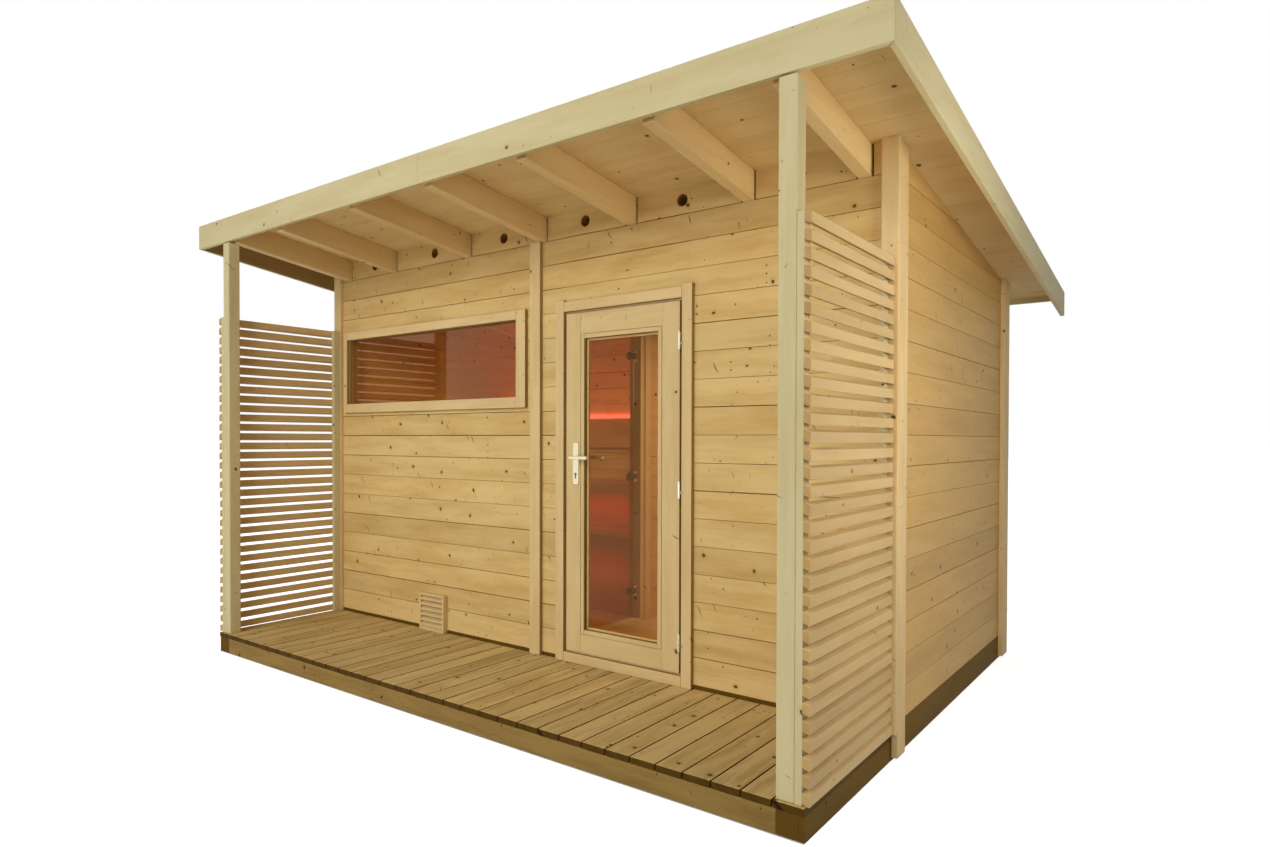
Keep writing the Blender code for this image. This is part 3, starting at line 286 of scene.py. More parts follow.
def timber(name, grain, pale, ring, warm, boards=None, knot="#4C2E10", knots=0.50, figure=0.15, spread=0.5,
           ring_count=7.0, rough=0.60, marks=0.5, fibre_depth=0.07, cloud=1.4, gloss=0.20, shade=None):
    """Sawn or planed timber whose grain runs along one axis: matt, with growth rings, fibres and knots.

    boards is (axis, first joint, pitch) where one piece holds several boards, so that each
    has its own figure and tone. shade is (axis, absolute, from, to, tint there, tint here): painted
    shade, how dark faces look by the way they are turned; without it, end grain is darker.
    """
    made, tree, shader = new_material(name)
    along, across, grid, tone, hue = lay_out_boards(tree, grain, boards)
    core, halo, dark = find_marks(tree, along, across, grid, knots, marks)
    late, patch = growth_rings(tree, grid, halo, ring_count)
    # Fibres, drawn about 6 mm wide so that they show
    fibres = add(tree, "Mapping", {"Vector": grid, "Scale": (4.0, 160.0, 1.0)})
    fibre = add(tree, "TexNoise", {"Vector": fibres, "Scale": 1.0, "Detail": 3.0, "Roughness": 0.6},
                give="Fac", noise_dimensions="2D")

    clouds = add(tree, "Math", [patch, cloud, -0.5 * cloud], **TIMES_PLUS)
    warmth = add(tree, "Math", [hue, spread, clouds], **TIMES_PLUS)
    colour = add(tree, "Mix", {0: warmth, 6: linear(pale), 7: linear(warm)}, **COLOURS)
    lined = add(tree, "Math", [fibre, fibre_depth * 2, -fibre_depth], **TIMES_PLUS)
    lined = add(tree, "Math", [late, figure, lined], **TIMES_PLUS)
    lined = add(tree, "Math", [halo, 0.5, lined], **TIMES_PLUS)
    colour = add(tree, "Mix", {0: lined, 6: colour, 7: linear(ring)}, **COLOURS)
    colour = add(tree, "Mix", {0: dark, 6: colour, 7: linear(knot)}, **COLOURS)
    level = add(tree, "Math", [tone, spread * 0.24, 1.0 - spread * 0.12], **TIMES_PLUS)
    colour = add(tree, "VectorMath", {0: colour, "Scale": level}, operation="SCALE")
    # Painted shade on faces by the way they are turned, or darker end grain when no shade is given.
    tint = tint_by_turn(tree, *(shade or (grain, True, 0.75, 0.95, "#FFFFFF", "#E8DCC8")))
    colour = add(tree, "VectorMath", [colour, tint], operation="MULTIPLY")

    height = add(tree, "Math", [core, 0.4, 0.0], **TIMES_PLUS)
    height = add(tree, "Math", [late, -0.3, height], **TIMES_PLUS)
    height = add(tree, "Math", [fibre, 0.5, height], **TIMES_PLUS)
    connect(shader, {"Base Color": colour, "Specular IOR Level": gloss,
                     "Roughness": add(tree, "Math", [fibre, 0.16, rough - 0.08], **TIMES_PLUS),
                     "Normal": add(tree, "Bump", {"Height": height, "Strength": 0.30, "Distance": 0.0010})})
    return made


def satin_metal(name, colour, rough):
    """Satin steel, stainless or zinc plated: fine scratches along the piece spread its highlights."""
    made, tree, shader = new_material(name)
    drawn = add(tree, "Mapping", {"Vector": add(tree, "TexCoord", give="Object"),
                                  "Scale": (900.0, 900.0, 40.0)})
    scratch = add(tree, "TexNoise", {"Vector": drawn, "Scale": 1.0, "Detail": 2.0}, give="Fac")
    connect(shader, {"Base Color": linear(colour), "Metallic": 1.0,
                     "Roughness": add(tree, "Math", [scratch, 0.16, rough - 0.08], **TIMES_PLUS),
                     "Normal": add(tree, "Bump", {"Height": scratch, "Strength": 0.06, "Distance": 0.0004})})
    return made


def float_glass(name, tint, ior, mirror):
    """Bronze float glass: sharp amber reflections, and light passes through it into the rooms."""
    made, tree, shader = new_material(name)
    connect(shader, {"Base Color": linear(tint), "Roughness": 0.0, "Transmission Weight": 1.0, "IOR": ior,
                     "Specular Tint": linear(mirror)})
    clear = add(tree, "BsdfTransparent", {"Color": linear(tint)})
    shadow = add(tree, "LightPath", give="Is Shadow Ray")
    mixed = add(tree, "MixShader", [shadow, shader.outputs[0], clear])
    connect(tree.nodes["Material Output"], {"Surface": mixed})
    return made


def matt_rubber(name, colour):
    """Matt rubber, or a gauze coated with it, with faint ribs."""
    made, tree, shader = new_material(name)
    place = add(tree, "TexCoord", give="Object")
    ribs = add(tree, "TexNoise", {"Vector": place, "Scale": 400.0, "Detail": 1.0}, give="Fac")
    connect(shader, {"Base Color": linear(colour),
                     "Roughness": add(tree, "Math", [ribs, 0.2, 0.5], **TIMES_PLUS),
                     "Normal": add(tree, "Bump", {"Height": ribs, "Strength": 0.1, "Distance": 0.0003})})
    return made


def mineral_felt(name):
    """Roofing felt with slate granules, drawn at 4 mm so that they show."""
    made, tree, shader = new_material(name)
    place = add(tree, "TexCoord", give="Object")
    grains = add(tree, "TexVoronoi", {"Vector": place, "Scale": 260.0}, give="Distance")
    tones = add(tree, "SeparateColor", [grains.node.outputs["Color"]])
    worn = add(tree, "TexNoise", {"Vector": place, "Scale": 1.6, "Detail": 5.0}, give="Fac")
    mixed = add(tree, "Math", [worn, 0.9, -0.25], **TIMES_PLUS)
    mixed = add(tree, "Math", [tones, 0.5, mixed], **TIMES_PLUS)
    connect(shader, {"Base Color": add(tree, "Mix", {0: mixed, 6: linear("#34363A"), 7: linear("#6B6C6C")},
                                       **COLOURS),
                     "Roughness": 0.9,
                     "Normal": add(tree, "Bump", {"Height": grains, "Strength": 0.5, "Distance": 0.001})})
    return made


def lit_diffuser(name, colour, glow, strength):
    """Frosted polycarbonate cover over red light, a little uneven along its length."""
    made, tree, shader = new_material(name)
    drawn = add(tree, "Mapping", {"Vector": add(tree, "TexCoord", give="Object"), "Scale": (60.0, 1.0, 1.0)})
    frost = add(tree, "TexNoise", {"Vector": drawn, "Scale": 1.0, "Detail": 1.0}, give="Fac")
    level = add(tree, "Math", [frost, strength * 0.4, strength * 0.8], **TIMES_PLUS)
    connect(shader, {"Base Color": linear(colour), "Roughness": 0.5, "Emission Color": linear(glow),
                     "Emission Strength": level})
    return made


WALL_BOARDS = (Z, WALL_BOTTOM, BOARD_PITCH)
# Painted shade: tints that darken faces turned away from a board's face, such as the sides of joints and
# holes, wall tops and the sides of reveals, where shade falls.
PAINTED_JOINT_SHADE = (True, 0.55, 0.85, "#CDBC9A", "#FFFFFF")
PAINTED_FAINT_SHADE = (True, 0.55, 0.85, "#EEE8DC", "#FFFFFF")
PAINTED_REVEAL_SHADE = (True, 0.55, 0.85, "#C4B89E", "#FFFFFF")
SPRUCE = dict(pale="#DDC083", ring="#AA8448", warm="#C49C5A", marks=0.8)
# ROOF_SPRUCE is paler than the wall spruce as painted light: it stands for the light that bounces up under
# the roof onto the roof boards and rafters.
ROOF_SPRUCE = dict(pale="#DFC48C", ring="#B69058", warm="#D4B076", knots=0.25, marks=0.15, figure=0.10)
DOOR_SPRUCE = dict(pale="#DBC28D", ring="#B99A64", warm="#D0B27A", knots=0.06, marks=0.3, figure=0.18,
                   spread=0.3, ring_count=10.0)
TRIM_SPRUCE = dict(pale="#DFC490", ring="#B99866", warm="#D0B27C", knots=0.18, marks=0.3, spread=0.4)
# PALE_SPRUCE is a paler, greyer copy of the spruce as painted light: it stands for the cool light on the
# fascias, bargeboards, posts and battens.
PALE_SPRUCE = dict(pale="#D0C498", ring="#B49E6E", warm="#C6B484", knots=0.22, marks=0.4, spread=0.4)
LINING = dict(pale="#D8B07C", ring="#A97C48", warm="#CCA068", knots=0.15, marks=0.1, figure=0.12, spread=0.3)
# Painted shade in the cladding's board joints and on the sides of its openings and notches.
wall_x = timber("spruce_cladding_long", X, boards=WALL_BOARDS, shade=(Y, *PAINTED_JOINT_SHADE), **SPRUCE)
# The side cladding is a darker, warmer copy of the front cladding, as painted shade for the light on the side
# wall.
wall_y = timber("spruce_cladding_side", Y, boards=WALL_BOARDS, shade=(X, *PAINTED_JOINT_SHADE),
                **{**SPRUCE, "pale": "#D0AC6A", "warm": "#BC9252", "cloud": 0.9, "knots": 0.3})
lining_y = timber("spruce_lining", Y, boards=WALL_BOARDS, shade=(X, *PAINTED_JOINT_SHADE), **LINING)
# Faint painted shade in the joints of the roof boards.
soffit_x = timber("spruce_roof_boards", X, boards=(Y, SOFFIT_START + WALL_FACE, SOFFIT_PITCH),
                  spread=0.25, shade=(Z, *PAINTED_FAINT_SHADE), **ROOF_SPRUCE)
planed_x = timber("planed_spruce_across", X, **PALE_SPRUCE)
planed_y = timber("planed_spruce_deep", Y, **PALE_SPRUCE)
# Painted shade: the left bargeboard's inner face, turned to +X, is tinted darker.
barge_y = timber("planed_spruce_left_verge", Y, shade=(X, False, 0.2, 0.8, "#FFFFFF", "#C0AE92"),
                 **PALE_SPRUCE)
planed_z = timber("planed_spruce_upright", Z, **PALE_SPRUCE)
trim_x = timber("spruce_trim_across", X, **TRIM_SPRUCE)
trim_z = timber("spruce_trim_upright", Z, **TRIM_SPRUCE)
# Painted shade on the side faces of the casings and of the door's stiles, rails and beads, in the gaps round
# the leaf.
casing_x = timber("spruce_casing_across", X, shade=(Y, *PAINTED_REVEAL_SHADE), **TRIM_SPRUCE)
casing_z = timber("spruce_casing_upright", Z, shade=(Y, *PAINTED_REVEAL_SHADE), **TRIM_SPRUCE)
door_x = timber("door_spruce_across", X, shade=(Y, *PAINTED_REVEAL_SHADE), **DOOR_SPRUCE)
door_z = timber("door_spruce_upright", Z, shade=(Y, *PAINTED_REVEAL_SHADE), **DOOR_SPRUCE)
floor_x = timber("spruce_floor", X, **LINING)
# The rafters are a still paler copy of the roof spruce, as painted light on their sides.
rafter_y = timber("rafter_spruce", Y, spread=0.25, **{**ROOF_SPRUCE, "pale": "#E2C68E", "warm": "#D8B67E"})
slat_y = timber("spruce_slats", Y, boards=(Z, SLAT_START - 0.005, SLAT_PITCH),
                **{**TRIM_SPRUCE, "pale": "#D4B884", "warm": "#C4A672", "spread": 0.6, "knots": 0.08,
                   "knot": "#6E4C24"})
TREATED = dict(pale="#D8BE84", ring="#8A6C38", warm="#BEA266", knot="#46320F", fibre_depth=0.20, figure=0.35,
               knots=0.6, rough=0.7, gloss=0.10)
TREATED_BEAM = dict(pale="#9A7E48", ring="#685028", warm="#866A3A", knot="#38280F", figure=0.35, spread=0.6,
                    fibre_depth=0.16, knots=0.6, rough=0.75, gloss=0.10)
# The sides and ends of the deck boards are tinted dark brown: partly their darker sawn ends, partly painted
# shade in the gaps between boards and at the deck's edges.
deck_y = timber("impregnated_deck_boards", Y, boards=(X, HALF_WIDTH - DECK_BOARD - 0.0025, DECK_PITCH),
                shade=(Z, True, 0.55, 0.85, "#645228", "#FFFFFF"), **TREATED)
treated_x = timber("impregnated_beam", X, **TREATED_BEAM)
treated_y = timber("impregnated_skirt", Y, **{**TREATED_BEAM, "pale": "#70561F", "warm": "#604A1A"})
BENCH = dict(pale="#CDA470", ring="#A67C48", warm="#BC9058", knots=0.02, marks=0.05, rough=0.5)
bench_x = timber("bench_aspen", X, **BENCH)
bench_z = timber("bench_aspen_knob", Z, **BENCH)
# Painted shade: the sleeves' dark brown stands for the shade inside the round vent holes.
sleeve_y = timber("vent_sleeve_painted_shade", Y, pale="#9A7440", ring="#6A4A20", warm="#886230")
# Painted shade on the reveal faces of the inner door's frame, which face along Y.
jamb_z = timber("inner_jamb_spruce", Z, shade=(Y, True, 0.55, 0.85, "#FFFFFF", "#D8CFA4"), **TRIM_SPRUCE)
steel = satin_metal("satin_stainless_steel", "#E6DCBC", 0.38)
dark_steel = satin_metal("lock_cylinder_steel", "#6E685A", 0.40)
bright_steel = satin_metal("polished_stainless_steel", "#FFFCF2", 0.28)
wing_steel = satin_metal("zinc_plated_steel", "#B4A27C", 0.45)
glass = float_glass("bronze_door_glass", "#FBF2E4", 1.40, "#FFBC7C")
window_glass = float_glass("bronze_window_glass", "#FBEAD4", 1.58, "#FFA45C")
inner_glass = float_glass("bronze_inner_glass", "#FAEEDA", 1.25, "#FFBC7C")
rubber = matt_rubber("brown_rubber_seal", "#5E4A2A")
# Gauze behind the vent's blades; its near-black colour is also painted shade in the slots between them.
gauze = matt_rubber("black_gauze_painted_shade", "#2A2012")
felt = mineral_felt("slate_roofing_felt")
red_light = lit_diffuser("red_light_diffuser", "#FFC0B0", "#F4685C", 1.25)


# How pieces are made
def roof_underside(y):
    return ROOF_AT_WALL - ROOF_FALL * (y - WALL_FACE)


def under_boards(y):
    return roof_underside(y) - SEAT


def rafter_bottom(y):
    return roof_underside(y) - RAFTER_DEPTH


def under_rafters(y):
    return rafter_bottom(y) - SEAT


def publish(name, mesh_data, paint, body, slot, replaced=()):
    """Makes the finished piece, hangs it on its body and hides the parts it replaces."""
    mesh = bpy.data.meshes.new(name)
    bmesh.ops.recalc_face_normals(mesh_data, faces=mesh_data.faces)
    mesh_data.to_mesh(mesh)
    mesh_data.free()
    publish_mesh(name, mesh, paint, body, slot, replaced)


def publish_mesh(name, mesh, paint, body, slot, replaced):
    piece = bpy.data.objects.new(name, mesh)
    bpy.context.collection.objects.link(piece)
    mesh.materials.clear()
    mesh.materials.append(paint)
    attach(piece, body)
    if replaced:
        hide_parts(*replaced)


def add_bar(shape, low, high, ease=0.0, segments=2, bottom=None, top=None):
    """Adds a squared timber; bottom and top may be slopes, and its arrises are rounded."""
    low, high = Vector(low), Vector(high)
    place = Matrix.Translation((low + high) / 2) @ Matrix.Diagonal((*(high - low), 1.0))
    corners = bmesh.ops.create_cube(shape, size=1.0, matrix=place)["verts"]
    middle = (low.z + high.z) / 2
    for corner in corners:
        if corner.co.z > middle and top:
            corner.co.z = top(corner.co.y)
        elif corner.co.z < middle and bottom:
            corner.co.z = bottom(corner.co.y)
    if ease:
        edges = list({edge for corner in corners for edge in corner.link_edges})
        bmesh.ops.bevel(shape, geom=edges, offset=ease, segments=segments, profile=0.5, affect="EDGES",
                        material=-1)
    return corners


def bar(name, low, high, paint, body="cabin", slot="planed_spruce", replaced=(), ease=0.002, bottom=None,
        top=None):
    """A squared timber as a piece of its own."""
    shape = bmesh.new()
    add_bar(shape, low, high, ease, bottom=bottom, top=top)
    publish(name, shape, paint, body, slot, replaced)


def turned(shape, profile, base, axis=(0.0, 0.0, 1.0), steps=24):
    """Adds a turned part: (radius, height) points spun about an axis that starts at base."""
    made = bmesh.new()
    points = [made.verts.new((radius, 0.0, height)) for radius, height in profile]
    edges = [made.edges.new(pair) for pair in zip(points, points[1:])]
    bmesh.ops.spin(made, geom=points + edges, cent=(0.0, 0.0, 0.0), axis=(0.0, 0.0, 1.0),
                   dvec=(0.0, 0.0, 0.0), angle=math.tau, steps=steps, use_merge=True)
    bmesh.ops.remove_doubles(made, verts=made.verts, dist=0.00001)
    turn = Vector((0.0, 0.0, 1.0)).rotation_difference(Vector(axis)).to_matrix().to_4x4()
    made.transform(Matrix.Translation(base) @ turn)
    part = bpy.data.meshes.new("turned")
    made.to_mesh(part)
    made.free()
    shape.from_mesh(part)
    bpy.data.meshes.remove(part)


def add_prism(shape, profile, start, end, ease=0.0):
    """Adds a bar with a (y, z) profile that runs from start to end along X."""
    face = shape.faces.new([shape.verts.new((start, y, z)) for y, z in profile])
    raised = bmesh.ops.extrude_face_region(shape, geom=[face])["geom"]
    moved = [item for item in raised if isinstance(item, bmesh.types.BMVert)]
    bmesh.ops.translate(shape, verts=moved, vec=(end - start, 0.0, 0.0))
    if ease:
        edges = list({edge for vert in [*face.verts, *moved] for edge in vert.link_edges})
        bmesh.ops.bevel(shape, geom=edges, offset=ease, segments=2, profile=0.5, affect="EDGES", material=-1)


def ring_of_bars(name, outer, inner, y0, y1, replaced, side_paint, flat_paint, ease=0.003, horn=0.0,
                 body="cabin"):
    """Four butt-jointed boards round an opening; outer and inner are (left, right, bottom, top)."""
    left, right = inner[0] + 0.0004, inner[1] - 0.0004
    set_back = y0 + 0.0005
    for place, low, high, paint in (
            ("left", (outer[0], y0, outer[2]), (inner[0], y1, outer[3]), side_paint),
            ("right", (inner[1], y0, outer[2]), (outer[1], y1, outer[3]), side_paint),
            ("head", (left, set_back, inner[3]), (right, y1, outer[3] - horn), flat_paint),
            ("sill", (left, set_back, outer[2]), (right, y1, inner[2]), flat_paint)):
        bar(name + "_" + place, low, high, paint, body=body, replaced=replaced, ease=ease)


def grown(opening, step):
    """The (left, right, bottom, top) of an opening, wider by step on every side."""
    return (opening[0] - step, opening[1] + step, opening[2] - step, opening[3] + step)


def node_shape(node):
    """A merged copy of a CAD node's mesh, with its flat faces joined up again."""
    shape = bmesh.new()
    shape.from_mesh(NODES[node].data)
    bmesh.ops.remove_doubles(shape, verts=shape.verts, dist=0.00002)
    bmesh.ops.dissolve_limit(shape, angle_limit=math.radians(0.5), verts=shape.verts, edges=shape.edges)
    return shape


def ease_arrises(shape, ease):
    """Rounds the edges where faces meet at more than 30 degrees."""
    sharp = [edge for edge in shape.edges if edge.is_manifold and edge.calc_face_angle() > math.radians(30)]
    bmesh.ops.bevel(shape, geom=sharp, offset=ease, segments=2, profile=0.5, affect="EDGES", material=-1,
                    clamp_overlap=True)


def eased_copy(node, name, paint, slot):
    """The CAD node's own shape with its arrises rounded."""
    shape = node_shape(node)
    ease_arrises(shape, 0.002)
    publish(name, shape, paint, "cabin", slot, (node,))


def add_groove(shape, start, end, width, depth, into):
    """A three-sided bar that cuts one V joint; into points into the timber."""
    start, end, into = Vector(start), Vector(end), Vector(into)
    along = (end - start).normalized()
    across = along.cross(into)
    proud = 0.004
    outside = into * -proud
    wide = width / 2 * (1 + proud / depth)
    corners = [start + outside - across * wide, start + into * depth, start + outside + across * wide]
    face = shape.faces.new([shape.verts.new(corner) for corner in corners])
    raised = bmesh.ops.extrude_face_region(shape, geom=[face])["geom"]
    bmesh.ops.translate(shape, verts=[item for item in raised if isinstance(item, bmesh.types.BMVert)],
                        vec=end - start)


def cut_joints(node, name, paint, grooves):
    """A copy of a CAD wall with the joints between its boards cut in."""
    mesh = bpy.data.meshes.new(name)
    shape = node_shape(node)
    bmesh.ops.recalc_face_normals(shape, faces=shape.faces)
    shape.to_mesh(mesh)
    shape.free()
    wall = bpy.data.objects.new(name + "_uncut", mesh)
    tool_mesh = bpy.data.meshes.new(name + "_joints")
    bmesh.ops.recalc_face_normals(grooves, faces=grooves.faces)
    grooves.to_mesh(tool_mesh)
    grooves.free()
    tool = bpy.data.objects.new(name + "_joints", tool_mesh)
    for thing in (wall, tool):
        bpy.context.collection.objects.link(thing)
    step = wall.modifiers.new("joints", "BOOLEAN")
    step.operation = "DIFFERENCE"
    step.solver = "EXACT"
    step.object = tool
    cut = bpy.data.meshes.new_from_object(wall.evaluated_get(bpy.context.evaluated_depsgraph_get()))
    cut.name = name
    for thing in (wall, tool):
        bpy.data.objects.remove(thing)
    publish_mesh(name, cut, paint, "cabin", "planed_spruce", (node,))


def joint_levels(top):
    """The heights of the joints between cladding boards."""
    level = WALL_BOTTOM + BOARD_PITCH
    while level < top - 0.02:
        yield level
        level += BOARD_PITCH


def clad_wall(node, name, paint, faces, along, strength=1.0):
    """Cuts a wall's board joints; faces is a list of (place on the other axis, way into the wall)."""
    low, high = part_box(node)
    grooves = bmesh.new()
    for place, into in faces:
        for level in joint_levels(high.z):
            width = JOINT_WIDTH * strength * CHANCE.uniform(0.40, 1.35)
            depth = JOINT_DEPTH * strength * CHANCE.uniform(0.6, 1.15)
            if along == X:
                start, end = (low.x - 0.01, place, level), (high.x + 0.01, place, level)
                direction = (0.0, into, 0.0)
            else:
                start, end = (place, low.y - 0.01, level), (place, high.y + 0.01, level)
                direction = (into, 0.0, 0.0)
            add_groove(grooves, start, end, width, depth, direction)
    cut_joints(node, name, paint, grooves)


# Walls
front_faces = [(WALL_FACE, 1.0), (WALL_BACK, -1.0)]
rear_faces = [(REAR_INNER, 1.0), (REAR_FACE, -1.0)]
clad_wall("front_wall_left", "cladding_front_left", wall_x, front_faces, X)
clad_wall("front_wall_right", "cladding_front_right", wall_x, front_faces, X)
clad_wall("front_wall_over_door", "cladding_over_door", wall_x, front_faces, X)
clad_wall("rear_wall", "cladding_rear", wall_x, rear_faces, X)
clad_wall("left_wall", "cladding_left", wall_y, [(-HALF_WIDTH, 1.0), (-ROOM_HALF, -1.0)], Y, 0.6)
clad_wall("right_wall", "cladding_right", wall_y, [(HALF_WIDTH, -1.0), (ROOM_HALF, 1.0)], Y, 0.6)
# The partition linings get the same painted shade in their joints.
for part, word in (("partition_front", "front"), ("partition_rear", "rear"),
                   ("partition_over_door", "lintel")):
    part_low, part_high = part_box(part)
    clad_wall(part, "lining_partition_" + word, lining_y, [(part_low.x, 1.0), (part_high.x, -1.0)], Y, 0.6)


def line_roof():
    """Cuts the joints of the roof boards on their underside."""
    low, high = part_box("roof_boards")
    grooves = bmesh.new()
    slope = Vector((0.0, 1.0, -ROOF_FALL)).normalized()
    into = Vector((1.0, 0.0, 0.0)).cross(slope)
    place = WALL_FACE + SOFFIT_START - SOFFIT_PITCH * 3
    while place < high.y:
        if place > low.y + 0.02:
            z = roof_underside(place)
            add_groove(grooves, (low.x - 0.01, place, z), (high.x + 0.01, place, z),
                       SOFFIT_JOINT_WIDTH * CHANCE.uniform(0.3, 1.4), SOFFIT_JOINT_DEPTH, into)
        place += SOFFIT_PITCH
    cut_joints("roof_boards", "roof_boarding", soffit_x, grooves)


line_roof()


def set_rafters():
    """Seven rafters that fall to the rear with the roof, and the rim behind the fascia."""
    low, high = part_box("roof_frame")
    shape = bmesh.new()
    for centre in RAFTERS:
        add_bar(shape, (centre - RAFTER_WIDTH / 2, low.y + RIM_THICKNESS / 2, 2.0),
                (centre + RAFTER_WIDTH / 2, high.y, 3.0), 0.003, bottom=rafter_bottom, top=under_boards)
    publish("rafters", shape, rafter_y, "cabin", "planed_spruce", ("roof_frame",))
    bar("front_rim_board", (low.x, low.y, 2.0), (high.x, low.y + RIM_THICKNESS, 3.0), soffit_x,
        replaced=("roof_frame",), bottom=lambda y: roof_underside(y) - RIM_DEPTH, top=under_boards)


set_rafters()


# Terrace
def lay_deck():
    """Thirty-three boards laid front to back, with their ends a little uneven."""
    shape = bmesh.new()
    right = HALF_WIDTH
    while right > -HALF_WIDTH + 0.02:
        left = max(right - DECK_BOARD, -HALF_WIDTH)
        add_bar(shape, (left, DECK_FRONT + CHANCE.uniform(0.0, 0.0022), DECK_BOTTOM),
                (right, WALL_FACE - SEAT, DECK_TOP - CHANCE.uniform(0.0, 0.0008)), 0.0025)
        right -= DECK_PITCH
    publish("deck_boards", shape, deck_y, "cabin", "impregnated_timber", ("terrace_deck",))


lay_deck()

FRAME_FRONT = DECK_FRONT + 0.006
FRAME_BACK = WALL_FACE - 0.008
FRAME_TOP = 0.089
SKIRT_INNER = 1.945
JOIST_INNER = 1.863
BEAM_END = JOIST_INNER - 0.0002
BEAM_THICKNESS = 0.045


def set_terrace_frame():
    """A joist and a skirt board on each side, and beams between them at the front and the back."""
    frame_work = dict(slot="impregnated_timber", replaced=("terrace_frame",))
    for side, word in ((-1, "left"), (1, "right")):
        xs = sorted((side * JOIST_INNER, side * (SKIRT_INNER - SEAT)))
        bar("terrace_joist_" + word, (xs[0], FRAME_FRONT + 0.001, 0.0), (xs[1], FRAME_BACK, FRAME_TOP),
            treated_y, **frame_work)
        xs = sorted((side * SKIRT_INNER, side * HALF_WIDTH))
        bar("terrace_skirt_" + word, (xs[0], FRAME_FRONT, 0.0), (xs[1], FRAME_BACK, FRAME_TOP), treated_y,
            **frame_work)
    for word, near in (("front", FRAME_FRONT), ("back", FRAME_BACK - BEAM_THICKNESS)):
        bar("terrace_" + word + "_beam", (-BEAM_END, near, 0.0), (BEAM_END, near + BEAM_THICKNESS, FRAME_TOP),
            treated_x, ease=0.003, **frame_work)


set_terrace_frame()


# Posts and screens
def make_screen(side, word):
    """Rhomboid slats on two battens; each slat sheds water to the outside."""
    low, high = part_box("screen_" + word)
    post_low, post_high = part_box("post_" + word)
    post = bmesh.new()
    add_bar(post, post_low, post_high, 0.005, 3, top=under_rafters)
    publish("terrace_post_" + word, post, planed_z, "cabin", "planed_spruce", ("post_" + word,))

    outer = high.x if side > 0 else low.x
    inner = outer - side * SLAT_THICKNESS
    slats = bmesh.new()
    for index in range(SLAT_COUNT):
        bottom = SLAT_START + index * SLAT_PITCH
        xs = sorted((inner, outer))
        ends = (low.y + CHANCE.uniform(0.0, 0.003), high.y - CHANCE.uniform(0.0, 0.003))
        corners = add_bar(slats, (xs[0], ends[0], bottom), (xs[1], ends[1], bottom + SLAT_HEIGHT))
        for corner in corners:
            if abs(corner.co.x - inner) < 0.001:
                corner.co.z += SLAT_FALL
        edges = list({edge for corner in corners for edge in corner.link_edges})
        bmesh.ops.bevel(slats, geom=edges, offset=0.0035, segments=2, profile=0.5, affect="EDGES",
                        material=-1)
    publish("screen_slats_" + word, slats, slat_y, "cabin", "planed_spruce", ("screen_" + word,))

    battens = bmesh.new()
    xs = sorted((inner, inner - side * BATTEN_THICKNESS))
    for y in (post_low.y, high.y - BATTEN_WIDTH - 0.001):
        add_bar(battens, (xs[0], y, low.z), (xs[1], y + BATTEN_WIDTH, high.z - 0.002), 0.002)
    publish("screen_battens_" + word, battens, planed_z, "cabin", "planed_spruce", ("screen_" + word,))


make_screen(-1, "left")
make_screen(1, "right")


# Roof edges and trims
eased_copy("rear_fascia", "rear_fascia_board", planed_x, "planed_spruce")
eased_copy("bargeboard_left", "barge_board_left", barge_y, "planed_spruce")
eased_copy("bargeboard_right", "barge_board_right", planed_y, "planed_spruce")


def butt_fascia():
    """The front fascia in two lengths that butt at a rafter."""
    for word, side in (("left", -1.0), ("right", 1.0)):
        shape = node_shape("front_fascia")
        place = (FASCIA_JOINT + side * 0.0006, 0.0, 0.0)
        geometry = shape.verts[:] + shape.edges[:] + shape.faces[:]
        cut_edges = bmesh.ops.bisect_plane(shape, geom=geometry, plane_co=place, plane_no=(-side, 0.0, 0.0),
                                           clear_outer=True)["geom_cut"]
        open_edges = [item for item in cut_edges if isinstance(item, bmesh.types.BMEdge)]
        bmesh.ops.contextual_create(shape, geom=open_edges)
        bmesh.ops.recalc_face_normals(shape, faces=shape.faces)
        ease_arrises(shape, 0.0015)
        publish("fascia_board_" + word, shape, planed_x, "cabin", "planed_spruce", ("front_fascia",))


butt_fascia()
bar("centre_cover", *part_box("centre_trim"), casing_z, replaced=("centre_trim",), ease=0.003,
    top=under_rafters)


def cover_corner(side, side_word, place):
    """A face board and a return board, butted at the corner."""
    node = "corner_trim_" + place + "_" + side_word
    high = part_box(node)[1]
    outer = side * (HALF_WIDTH + SEAT + CORNER_OUT)
    direction = -1 if place == "front" else 1
    near = (WALL_FACE if place == "front" else REAR_FACE) + direction * SEAT
    foot = DECK_TOP + SEAT if place == "front" else CORNER_FOOT
    xs = sorted((outer, outer - side * CORNER_FACE_WIDTH))
    ys = sorted((near, near + direction * TRIM_THICKNESS))
    bar("corner_face_" + place + "_" + side_word, (xs[0], ys[0], foot), (xs[1], ys[1], high.z), trim_z,
        replaced=(node,), ease=0.003, top=under_boards)
    xs = sorted((outer, outer - side * CORNER_RETURN_THICKNESS))
    ys = sorted((near, near - direction * CORNER_RETURN_WIDTH))
    bar("corner_return_" + place + "_" + side_word, (xs[0], ys[0], CORNER_FOOT), (xs[1], ys[1], high.z),
        trim_z, replaced=(node,), ease=0.003, top=under_boards)


for end in ("front", "rear"):
    cover_corner(-1, "left", end)
    cover_corner(1, "right", end)


